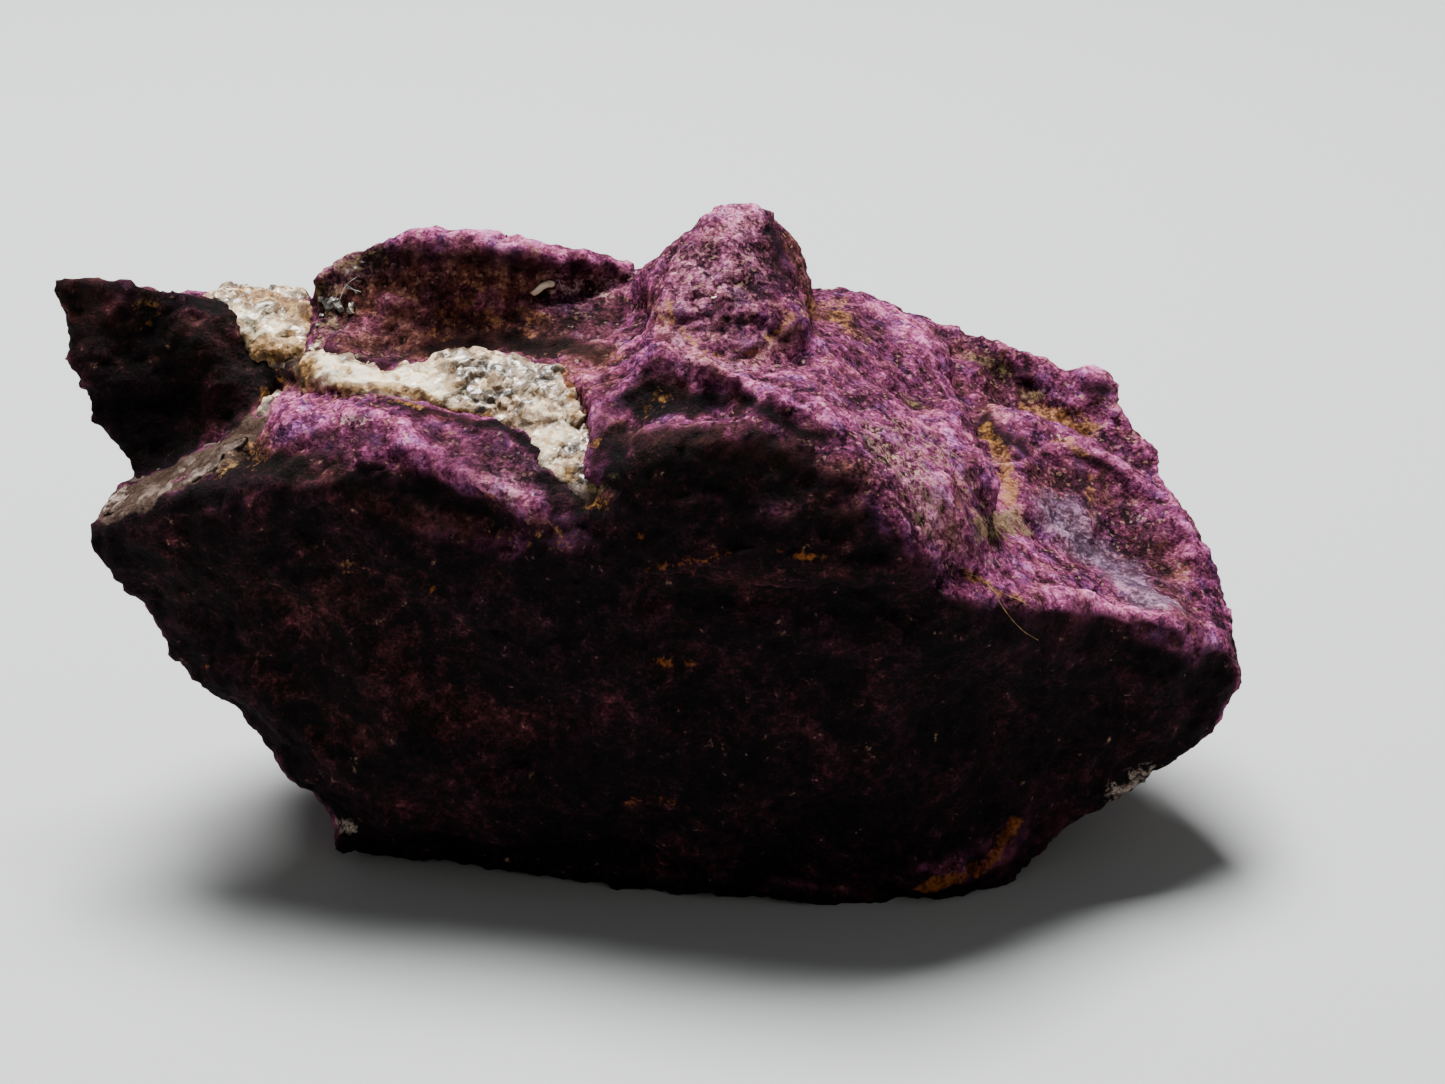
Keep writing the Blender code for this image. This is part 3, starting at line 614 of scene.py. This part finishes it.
class Finish:
    """A material, and the nodes that make it."""

    def __init__(self, name, **constants):
        self.material = bpy.data.materials.new(name)
        self.material.use_nodes = True
        self.tree = self.material.node_tree
        self.surface = self.tree.nodes["Principled BSDF"]
        for socket, value in constants.items():
            self.surface.inputs[socket.replace("_", " ")].default_value = value

    def node(self, kind, settings, *values, output=0, **named):
        """One node: its settings first, then its sockets' values or links."""
        made = self.tree.nodes.new(kind)
        for setting, value in settings.items():
            setattr(made, setting, value)
        sockets = list(zip(made.inputs, values))
        sockets += [(made.inputs[key.replace("_", " ")], value) for key, value in named.items()]
        for socket, value in sockets:
            if isinstance(value, Socket):
                self.tree.links.new(value.output, socket)
            elif value is not None:
                socket.default_value = value
        return Socket(self, made.outputs[output])

    def set(self, socket, value):
        """Feeds one of the surface's sockets."""
        self.tree.links.new(value.output, self.surface.inputs[socket])

    def places(self, stretch=(1.0, 1.0, 1.0), turn=(0.0, 0.0, 0.0)):
        """The surface's own places in millimetres, turned and then stretched."""
        own = self.node("ShaderNodeTexCoord", {}, output="Object")
        size = [each / MM for each in stretch]
        return self.node("ShaderNodeMapping", {}, own, Rotation=turn, Scale=size)

    def noise(self, size, places, detail=4.0, rough=0.6, warp=0.0):
        """Cloudy values about 0.5, with features about `size` millimetres across."""
        return self.node(
            "ShaderNodeTexNoise", {}, places, None, 1.0 / size, detail, rough, 2.0, None, None, warp
        )

    def ragged(self, places, size, sway):
        """The places swayed a little, so that what is laid on them has uneven borders."""
        cloud = self.node("ShaderNodeTexNoise", {}, Vector=places, Scale=1.0 / size, output="Color")
        settings = {"operation": "MULTIPLY_ADD"}
        return self.node("ShaderNodeVectorMath", settings, cloud, (sway, sway, sway), places)

    def grains(self, size, places):
        """A value of its own for each grain about `size` millimetres across."""
        colour = self.node("ShaderNodeTexVoronoi", {}, Vector=places, Scale=1.0 / size, output="Color")
        return self.node("ShaderNodeSeparateColor", {}, colour)

    def painted(self, name):
        """A value painted on the piece's points."""
        return self.node("ShaderNodeAttribute", {"attribute_name": name}, output="Fac")

    def mixed(self, amount, first, second):
        """From the first colour to the second."""
        colours = [each if isinstance(each, Socket) else (*each, 1.0) for each in (first, second)]
        # Five sockets for numbers and vectors come between the amount and the colours
        values = (amount, None, None, None, None, None, *colours)
        return self.node("ShaderNodeMix", {"data_type": "RGBA"}, *values, output=2)

    def graded(self, value, *stops):
        """The colour that goes with a value, from stops of value and colour."""
        colour = stops[0][1]
        for (low, _), (high, following) in zip(stops, stops[1:]):
            colour = self.mixed(value.between(low, high), colour, following)
        return colour

    def bumped(self, *layers):
        """Feeds the Normal from layers of height and depth in millimetres."""
        normal = None
        for height, depth in layers:
            normal = self.node(
                "ShaderNodeBump", {}, Strength=1.0, Distance=depth * MM, Height=height, Normal=normal
            )
        self.set("Normal", normal)


def at(place):
    """A place in the frame, in metres."""
    return (Vector(place) + SHIFT) * MM


def sight_line(spot):
    """From where and along what the camera sees a spot of the photograph."""
    focal = PHOTO[0] * LENS / SENSOR
    across = (spot[0] - PHOTO[0] / 2.0) / focal
    above = (PHOTO[1] / 2.0 - spot[1]) / focal
    return AIM + BACK * DISTANCE, Vector((across, 0.0, 0.0)) + UP * above - BACK


class Skin:
    """A piece's surface, for laying things on it by sight."""

    def __init__(self, piece):
        self.points, _ = points_of(piece)
        faces = [tuple(face.vertices) for face in piece.data.polygons]
        self.tree = BVHTree.FromPolygons([Vector(point) for point in self.points], faces)

    def seen(self, spot):
        """The place and the normal of the surface at a spot of the photograph."""
        start, along = sight_line(spot)
        place, normal, _, _ = self.tree.ray_cast(start, along.normalized())
        if place is None:
            place, normal, _, _ = self.tree.find_nearest(start + along * DISTANCE)
        return place, normal

    def laid(self, path, stride=14.0):
        """Places on the surface along a path in the photograph, a stride apart."""
        places = []
        for start, end in zip(path, path[1:]):
            start, end = Vector(start), Vector(end)
            count = max(1, round((end - start).length / stride))
            places += [self.seen(start.lerp(end, step / count))[0] for step in range(count)]
        return [*places, self.seen(path[-1])[0]]


def points_of(piece):
    """The piece's points in millimetres and its normals, as arrays."""
    count = len(piece.data.vertices)
    points = np.empty(count * 3, np.float32)
    normals = np.empty(count * 3, np.float32)
    piece.data.vertices.foreach_get("co", points)
    piece.data.vertex_normals.foreach_get("vector", normals)
    places = points.reshape(-1, 3).astype(float) / MM - np.array(SHIFT)
    return places, normals.reshape(-1, 3).astype(float)


def move_points(piece, points):
    """Puts the piece's points at places in millimetres."""
    metres = (points + np.array(SHIFT)) * MM
    piece.data.vertices.foreach_set("co", metres.astype(np.float32).ravel())
    piece.data.update()


def add_piece(name, mesh):
    """An object with this mesh, in the scene."""
    piece = bpy.data.objects.new(name, mesh)
    bpy.context.scene.collection.objects.link(piece)
    return piece


def fine_copy(node, name, grid, rounds, filling=None):
    """The CAD node as a fine skin of small, even faces. A filling closes a groove."""
    shape = bmesh.new()
    shape.from_mesh(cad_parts[node].data)
    if filling:
        shape.from_mesh(filling)
    mesh = bpy.data.meshes.new(name)
    shape.to_mesh(mesh)
    shape.free()
    copy = add_piece(name, mesh)
    remesh = copy.modifiers.new("fine", "REMESH")
    remesh.mode = "VOXEL"
    remesh.voxel_size = grid * MM
    soften = copy.modifiers.new("soften", "SMOOTH")
    soften.factor = 0.5
    soften.iterations = rounds
    graph = bpy.context.evaluated_depsgraph_get()
    fine = bpy.data.meshes.new_from_object(copy.evaluated_get(graph))
    bpy.data.objects.remove(copy)
    fine.materials.clear()
    fine.shade_smooth()
    piece = add_piece(name, fine)
    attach(piece, "root")
    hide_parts(node)
    return piece


def vein_bed():
    """Stone that fills the room round the vein, to a little under the vein's skin."""
    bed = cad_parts["quartz_vein"].data.copy()
    moves = []
    for vertex in bed.vertices:
        sideways = 1.0 - max(0.0, -vertex.normal.dot(INWARD))
        moves.append(vertex.normal * BED_SWELL * sideways + INWARD * BED_SINK)
    for vertex, move in zip(bed.vertices, moves):
        vertex.co += move * MM
    return bed


def near(points, radius, path):
    """1 on the path, falling smoothly to 0 at the radius from it."""
    nearest = np.full(len(points), np.inf)
    for start, end in zip(path, path[1:] or path):
        start = np.array(start)
        along = np.array(end) - start
        share = (points - start) @ along / max(along @ along, 1e-12)
        foot = start + np.clip(share, 0.0, 1.0)[:, None] * along
        nearest = np.minimum(nearest, np.linalg.norm(points - foot, axis=1))
    return (1.0 - np.clip(nearest / radius, 0.0, 1.0) ** 2) ** 2


def rising(values, low, high):
    """0 at or below low, 1 at or above high, and even between."""
    return np.clip((values - low) / (high - low), 0.0, 1.0)


def each_point(points, rule):
    """What the rule gives for each of the points."""
    return np.array([rule(Vector(point)) for point in points])


def patches_on(skin, patches):
    """The strongest of the patches at each point of the skin, with frayed edges."""
    sway = each_point(skin.points, lambda point: noise.noise_vector(point * 1.1))
    strongest = np.zeros(len(skin.points))
    for strength, radius, path in patches:
        frayed = skin.points + sway * radius * FRAY
        patch = strength * near(frayed, radius * REACH, skin.laid(path))
        strongest = np.maximum(strongest, patch)
    return strongest


def paint(piece, name, values):
    """Keeps a value for each point, for the finish to read."""
    layer = piece.data.attributes.new(name, "FLOAT", "POINT")
    layer.data.foreach_set("value", np.clip(values, 0.0, 1.0).astype(np.float32))


def smoothed(piece, points, rounds):
    """The points, moved to the middle of their neighbours round after round."""
    edges = np.empty(len(piece.data.edges) * 2, np.int64)
    piece.data.edges.foreach_get("vertices", edges)
    ends = edges.reshape(-1, 2)
    count = np.bincount(edges, minlength=len(points))[:, None]
    smooth = points.copy()
    for _ in range(rounds):
        total = np.zeros_like(smooth)
        for axis in range(3):
            total[:, axis] = np.bincount(ends[:, 0], smooth[ends[:, 1], axis], len(points))
            total[:, axis] += np.bincount(ends[:, 1], smooth[ends[:, 0], axis], len(points))
        smooth = total / np.maximum(count, 1)
    return smooth


def hollowness(piece, rounds):
    """How far each point lies under its surroundings, about -1 to 1."""
    points, normals = points_of(piece)
    depth = ((smoothed(piece, points, rounds) - points) * normals).sum(axis=1)
    return depth / max(np.percentile(np.abs(depth), 97), 1e-9)


def ridges(point):
    """About -0.5 to 0.5: rounded hollows between sharp ridges."""
    return 0.5 - 2.0 * abs(noise.noise(point))


def steps(point, size):
    """About -1 to 1: each grain is a small plane with a tilt and a level of its own."""
    place = point / size
    centre = noise.voronoi(place)[1][0]
    tilt = noise.cell_vector(centre * 31.0)
    return (place - centre).dot(tilt - Vector((0.5, 0.5, 0.5))) * 1.6 + tilt.x * 0.5 - 0.25


def broken_skin(point):
    """Height of the stone's broken skin: hackly steps on steps, ridges and crumbs."""
    ragged = point + noise.noise_vector(point / 1.6) * 0.55
    height = sum(rise * steps(ragged + offset, size) for rise, size, offset in SKIN_STEPS)
    height += sum(rise * ridges(point / size + offset) for rise, size, offset in SKIN_RIDGES)
    return height + 0.09 * noise.fractal(point / 0.7, 0.7, 2.1, 3)


def coarse_steps(point):
    """Height of the larger breaks on the sides that the photograph doesn't show."""
    return 0.35 * steps(point + noise.noise_vector(point / 3.0) * 1.2, 5.0)


def clouded(point):
    """Uneven clouds about 0, for the stains on the sides that the photograph doesn't show."""
    return noise.fractal(point / 6.0 + noise.noise_vector(point / 2.5) * 0.35, 0.6, 2.1, 5)


def stroke(piece, skin):
    """Raises, pushes and softens the stone's form along its strokes."""
    for height, radius, path in RELIEF:
        points, normals = points_of(piece)
        lift = height * near(points, radius, skin.laid(path))
        move_points(piece, points + normals * lift[:, None])
    for move, radius, path in PUSHES:
        points, _ = points_of(piece)
        share = near(points, radius, skin.laid(path))
        move_points(piece, points + np.array(move) * share[:, None])
    points, _ = points_of(piece)
    soft = smoothed(piece, points, SOFT_ROUNDS)
    for strength, radius, path in SOFTENED:
        share = strength * near(points, radius, skin.laid(path))
        points += (soft - points) * share[:, None]
    move_points(piece, points)


def stone():
    """The purpurite: the CAD solid's form with its strokes and its fine broken skin."""
    piece = fine_copy("purpurite_mass", "purpurite_stone", ROCK_GRID, 2, vein_bed())
    skin = Skin(piece)
    stroke(piece, skin)
    points, normals = points_of(piece)
    # Painted shade on the front face, which is turned from the lamp, and the sides that the photograph
    # doesn't show
    shaded = rising(normals @ np.array(FRONT), 0.4, 0.9) * (1.0 - patches_on(skin, STILL_LIT))
    away = normals @ -np.array(BACK)
    hidden = rising(away, 0.15, 0.55)
    unseen = rising(away + 0.45 * np.abs(normals[:, 0]), 0.05, 0.45)
    # The broken skin, calmer on the sheen and the slab, over a foot that stays flat
    slab = patches_on(skin, SLAB)
    calm = 1.0 - 0.6 * patches_on(skin, SILKY) - 0.85 * slab
    breaks = each_point(points, coarse_steps)
    clouds = each_point(points, clouded)
    points += normals * (each_point(points, broken_skin) * calm + breaks * hidden)[:, None]
    points[:, 2] = np.maximum(points[:, 2], 0.0)
    move_points(piece, points)
    # What the finish reads. On the sides out of sight, form and clouds stand in for patches
    paint(piece, "hollow", 0.5 + 0.25 * hollowness(piece, 14) + 0.2 * hollowness(piece, 4))
    paint(piece, "slab", slab)
    creased = 0.5 + 0.5 * hollowness(piece, 40)
    blackened = 0.42 + clouds * 1.1 - breaks * 1.4 + (creased - 0.5) * 0.5
    by_form = {
        "ochre": unseen * rising(creased, 0.6, 0.9) * 0.6,
        "brown": unseen * np.clip(0.35 - clouds * 1.3 + breaks, 0.0, 0.8),
        "dark_and_shade": np.maximum(shaded, unseen * np.clip(blackened, 0.0, 0.9)),
    }
    skin = Skin(piece)
    for name, patches in STAINS.items():
        paint(piece, name, np.maximum(patches_on(skin, patches), by_form.get(name, 0.0)))
    piece.data.materials.append(purpurite())
    return skin


def purpurite():
    """Dull to velvety purple stone, nearly black in its dark parts and where shade is painted, with
    rusty creases.
    """
    made = Finish("purpurite", Specular_IOR_Level=0.04, Coat_Roughness=0.2)
    flat = made.places()
    patch = made.noise(3.2, flat, detail=3.0, rough=0.6)
    tilted = made.places((1.0, 1.3, 0.8), (0.4, 0.0, 0.9))
    tint = made.noise(1.3, tilted, detail=5.0, rough=0.65)
    mottle = made.noise(0.85, flat, detail=6.0, rough=0.72, warp=0.1)
    fine = made.noise(0.17, flat, detail=3.0, rough=0.7)
    swayed = made.ragged(flat, 0.25, 0.25)
    grain = made.grains(0.36, swayed)
    crumb = made.grains(0.16, swayed)
    drawn_out = made.places((0.5, 3.0, 3.0), (0.0, math.radians(38.0), 0.3))
    fibre = made.noise(1.1, drawn_out, detail=5.0, rough=0.7)
    upright = made.places((4.0, 4.0, 0.4), (0.2, 0.1, 0.0))
    blade = made.noise(0.8, upright, detail=2.5, rough=0.6)
    speckled = made.painted("speckled")
    # The stone's tone from its clouds and grains, with painted light on the brighter places, painted
    # shade in its hollows and painted light on its crests
    glow = mottle * 1.2 + (patch - 0.5) * 0.75 + (fine - 0.5) * 0.65 - 0.09
    glow = glow + (crumb - 0.5) * 0.26 + (grain - 0.5) * (speckled * 0.3 + 0.15)
    glow = glow + made.painted("pink_and_painted_light") * 0.2 - (made.painted("hollow") - 0.5) * 0.3
    # The lit stone: rose and violet, brown in places, with tan speckles and blades
    colour = made.graded(glow, *ROSE)
    colour = made.mixed(tint.between(0.5, 0.64) * 0.75, colour, made.graded(glow, *VIOLET))
    rusty = made.painted("brown") + (1.0 - tint).between(0.52, 0.66) * 0.55
    colour = made.mixed((rusty + (patch - 0.5) * 0.6).clamped(), colour, made.graded(glow, *RUSSET))
    colour = made.mixed(fibre.between(0.56, 0.68) * 0.25, colour, DARK_FIBRE)
    tan = made.graded(glow + (crumb - 0.5) * 0.3, *TAN)
    colour = made.mixed(speckled * fine.between(0.36, 0.58) * 0.6, colour, tan)
    blades = made.painted("grassy") * blade.between(0.52, 0.6)
    colour = made.mixed(blades * 0.7, colour, TAN_BLADE)
    colour = made.mixed(crumb.between(0.93, 0.96) * 0.35, colour, TAN_CRUMB)
    # The dark stone and the painted shade over it, with its reddish clouds
    shade = made.painted("dark_and_shade")
    cloudy = made.painted("red") * 1.2 + (mottle - 0.5) * 1.5 + (fine - 0.5) * 0.8
    dark_and_shade = made.graded(glow * 0.8 + (patch - 0.5) * 0.9, *SHADE)
    dark_and_shade = made.mixed(cloudy.between(0.45, 1.3) * 0.85, dark_and_shade, made.graded(glow, *SHADE_RED))
    cover = shade * 1.4 + ((mottle - 0.5) * 1.5 + (fine - 0.5) * 1.4 + (crumb - 0.5) * 0.7) * shade
    colour = made.mixed(cover.clamped() * 0.97, colour, dark_and_shade)
    # Slab, crusts and painted sheen
    slab = (made.painted("slab") * 1.8 + (mottle - 0.5) * 1.2).between(0.4, 1.0)
    colour = made.mixed(slab, colour, made.graded(glow, *SLAB_TONES))
    uneven_edge = (mottle - 0.5) * 1.8 + (grain - 0.5) * 0.5 + (crumb - 0.5) * 0.4
    for name, (deep, bright) in CRUSTS.items():
        stain = (made.painted(name) * 1.5 + uneven_edge).between(0.45, 1.25)
        tone = made.mixed(glow.between(0.35, 0.85), deep, bright)
        colour = made.mixed(stain * 0.8, colour, tone)
    silky = made.painted("silky")
    sheen = (silky * (fine * 1.2 + grain * 0.5)).clamped()
    colour = made.mixed(sheen, colour, made.graded(glow, *SHEEN))
    glint = crumb.between(0.86, 0.93) * (0.12 + silky * 0.7) * (1.0 - shade * 2.5)
    made.set("Base Color", colour)
    made.set("Roughness", 0.8 - silky * 0.3)
    made.set("Coat Weight", glint.clamped())
    made.bumped((mottle, 0.14), (grain, 0.05), (crumb, 0.05), (fine, 0.12))
    return made.material


def vein_grain(point):
    """Height of the vein's grains, small ones on larger ones."""
    return sum(rise * steps(point, size) for rise, size in VEIN_STEPS)


def vein():
    """The vein: grown grains of quartz and feldspar. Its sides swell into the stone."""
    piece = fine_copy("quartz_vein", "vein_crust", VEIN_GRID, 3)
    skin = Skin(piece)
    points, normals = points_of(piece)
    ledge = patches_on(skin, VEIN_LEDGE)
    calm = np.maximum(1.0 - 0.85 * ledge - 0.35 * patches_on(skin, VEIN_WHITE), 0.15)
    sideways = 1.0 - rising(normals @ -np.array(INWARD), 0.0, 1.0)
    height = VEIN_RISE + VEIN_SWELL * sideways - LEDGE_SINK * ledge
    for lift, radius, path in VEIN_RELIEF:
        height += lift * near(points, radius, skin.laid(path))
    height += each_point(points, vein_grain) * calm
    move_points(piece, points + normals * height[:, None])
    paint(piece, "hollow", 0.5 + 0.5 * hollowness(piece, 5))
    paint(piece, "ledge", ledge)
    skin = Skin(piece)
    for name, patches in VEIN_STAINS.items():
        paint(piece, name, patches_on(skin, patches))
    piece.data.materials.append(vein_stone())


def vein_stone():
    """Cream feldspar and grey glassy quartz in grains, with rust, and brown joints."""
    made = Finish("quartz_and_feldspar", Specular_IOR_Level=0.25, Coat_Roughness=0.08)
    flat = made.places()
    grain = made.grains(0.8, flat)
    small = made.grains(0.34, flat)
    clouds = made.noise(0.9, flat, detail=4.0, rough=0.6, warp=0.4)
    fine = made.noise(0.14, flat, detail=3.0, rough=0.6)
    white = made.painted("white")
    ledge = (made.painted("ledge") * 2.0).clamped()
    clear = made.painted("glass") * grain.between(0.1, 0.4)
    glassy = (grain.between(0.3, 0.6) * 0.6 + clear - white).clamped()
    tone = clouds + (small - 0.5) * 0.4 + (fine - 0.5) * 0.4
    colour = made.mixed(glassy, made.graded(tone, *FELDSPAR), made.graded(tone, *QUARTZ))
    colour = made.mixed(white, colour, made.graded(tone, *CREAM))
    rust = (made.painted("rust") * 1.4 + (clouds - 0.5) * 1.6).between(0.45, 0.95)
    colour = made.mixed(rust * 0.9, colour, made.graded(tone, *RUST))
    colour = made.mixed(ledge, colour, made.graded(tone, *LEDGE_TONES))
    colour = made.mixed(made.painted("edge") * tone.between(0.3, 0.6), colour, LEDGE_EDGE)
    joint = (made.painted("hollow") - 0.6).between(0.0, 0.3)
    colour = made.mixed(joint * 0.7, colour, JOINT)
    glint = glassy * 0.6 + small.between(0.86, 0.92) * 0.8 - ledge * 0.6
    made.set("Base Color", colour)
    made.set("Roughness", 0.6 - glassy * 0.3 + ledge * 0.2)
    made.set("Coat Weight", glint.clamped())
    made.bumped((clouds, 0.1), (small, 0.06), (fine, 0.05))
    return made.material


def joined(name, shape, finish):
    """The bmesh as a piece that rides with the stone."""
    mesh = bpy.data.meshes.new(name)
    shape.to_mesh(mesh)
    shape.free()
    mesh.materials.append(finish)
    piece = add_piece(name, mesh)
    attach(piece, "root")


def laid_on(skin, spot, size, lift, index):
    """The matrix that lays a small piece on the skin, each with a lean of its own."""
    place, normal = skin.seen(spot)
    turn = (normal + BACK).to_track_quat("Z", "Y").to_matrix().to_4x4()
    lean = Matrix.Rotation(0.4 * math.sin(index * 2.3), 4, "X") @ Matrix.Rotation(index * 1.7, 4, "Z")
    around = Matrix.Translation(at(place + normal * lift)) @ turn @ lean
    return around @ Matrix.Diagonal((size * MM, size * MM, size * MM, 1.0))


def uneven(corners, size, index, share):
    """Moves the corners about, by a share of the piece's size."""
    for corner in corners:
        wander = noise.noise_vector(corner.co / (size * MM) * 1.3 + Vector((index, 0.0, 0.0)))
        corner.co += wander * size * MM * share


def two_toned(name, size, *stops, **constants):
    """A finish that drifts between two colours in clouds of this size."""
    made = Finish(name, **constants)
    made.set("Base Color", made.graded(made.noise(size, made.places()), *stops))
    return made.material


def mica_flakes(skin):
    """Small grey plates, two or three to a stack."""
    shape = bmesh.new()
    for index, (spot, size) in enumerate(MICA_FLAKES):
        for level in range(2 + index % 2):
            around = laid_on(skin, spot, size, 0.05 + 0.07 * level, index + 0.4 * level)
            stretch = Matrix.Diagonal((0.8 - 0.2 * level, 0.55, 1.0, 1.0))
            plate = bmesh.ops.create_cone(
                shape, cap_ends=True, segments=5, radius1=1.0, radius2=0.9, depth=0.12,
                matrix=around @ stretch,
            )
            uneven(plate["verts"], size, index, 0.5)
    mica = two_toned("mica", 0.4, *MICA_GREYS, Roughness=0.3, Coat_Weight=0.4)
    joined("mica_flakes", shape, mica)


def pale_grains(skin):
    """The pale chip on the capped lobe, and a few cream grains."""
    shape = bmesh.new()
    sliver = Matrix.Diagonal((1.0, 0.26, 0.3, 1.0))
    for index, (spot, size) in enumerate(PALE_CHIPS):
        around = laid_on(skin, spot, size, size * 0.22, index + 0.2) @ sliver
        chip = bmesh.ops.create_icosphere(shape, subdivisions=3, radius=1.0, matrix=around)
        uneven(chip["verts"], size, index, 0.32)
    pale = two_toned("pale_grains", 0.4, *CHIP_CREAMS, Roughness=0.5)
    joined("pale_grains", shape, pale)


def add_thread(shape, skin, spots, radius, sides=5, stride=3.0, lift=0.12, rounds=3):
    """A thin round thread that lies on the skin, lifted a little between its ends."""
    path = [Vector(place) for place in skin.laid(spots, stride)]
    for index in range(len(path)):
        share = index / (len(path) - 1)
        path[index] += BACK * (radius + lift * math.sin(math.pi * share))
    for _ in range(rounds):
        middle = [(a + b * 2.0 + c) / 4.0 for a, b, c in zip(path, path[1:], path[2:])]
        path = [path[0], *middle, path[-1]]
    rings = []
    for index, place in enumerate(path):
        along = path[min(index + 1, len(path) - 1)] - path[max(index - 1, 0)]
        turn = along.to_track_quat("Z", "Y")
        ring = []
        for side in range(sides):
            angle = math.tau * side / sides
            out = turn @ Vector((math.cos(angle), math.sin(angle), 0.0)) * radius
            ring.append(shape.verts.new(at(place + out)))
        rings.append(ring)
    for first, second in zip(rings, rings[1:]):
        for side in range(sides):
            after = (side + 1) % sides
            shape.faces.new((first[side], first[after], second[after], second[side]))
    shape.faces.new(rings[0][::-1])
    shape.faces.new(rings[-1])


def threads(skin):
    """White lint on the capped lobe, and a golden hair on the front edge."""
    for name, paths, radius, tones in (
        ("lint", LINT, 0.018, LINT_WHITES),
        ("golden_hair", GOLDEN_HAIR, 0.017, HAIR_GOLDS),
    ):
        shape = bmesh.new()
        for spots in paths:
            add_thread(shape, skin, spots, radius)
        joined(name, shape, two_toned(name, 0.6, *tones, Roughness=0.6))


def floor():
    """A plain pale surface under the stone."""
    bpy.ops.mesh.primitive_plane_add(size=3.0, location=(0.0, 0.9, 0.0))
    made = bpy.context.object
    made.name = "floor"
    finish = Finish("floor", Roughness=0.75)
    finish.surface.inputs["Base Color"].default_value = (0.50, 0.52, 0.51, 1.0)
    made.data.materials.append(finish.material)


def camera():
    """The camera at the photograph's place."""
    made = bpy.data.objects.new("camera", bpy.data.cameras.new("camera"))
    bpy.context.scene.collection.objects.link(made)
    made.data.lens = LENS
    made.data.sensor_width = SENSOR
    made.data.clip_start = 0.005
    made.location = at(AIM + BACK * DISTANCE)
    made.rotation_euler = (-BACK).to_track_quat("-Z", "Y").to_euler()
    bpy.context.scene.camera = made


def lamp(name, place, size, watts, colour=(1.0, 1.0, 1.0)):
    """A soft square lamp that faces the stone. Its place and size are in metres."""
    made = bpy.data.objects.new(name, bpy.data.lights.new(name, "AREA"))
    bpy.context.scene.collection.objects.link(made)
    made.data.size = size
    made.data.energy = watts
    made.data.color = colour
    made.location = place
    made.rotation_euler = (at(AIM) - Vector(place)).to_track_quat("-Z", "Y").to_euler()


def lights():
    """A large lamp above and behind, to the left, and a weak fill from the front."""
    lamp("top_lamp", place=(-0.05, 0.145, 0.45), size=0.22, watts=7.6)
    lamp("front_fill", place=(0.2, -0.5, 0.3), size=0.5, watts=0.3, colour=(1.0, 0.93, 0.85))
    world = bpy.data.worlds.new("studio")
    bpy.context.scene.world = world
    world.use_nodes = True
    background = world.node_tree.nodes["Background"]
    background.inputs["Color"].default_value = (0.8, 0.84, 0.86, 1.0)
    background.inputs["Strength"].default_value = 0.14


stone_skin = stone()
vein()
mica_flakes(stone_skin)
pale_grains(stone_skin)
threads(stone_skin)
floor()
lights()
camera()
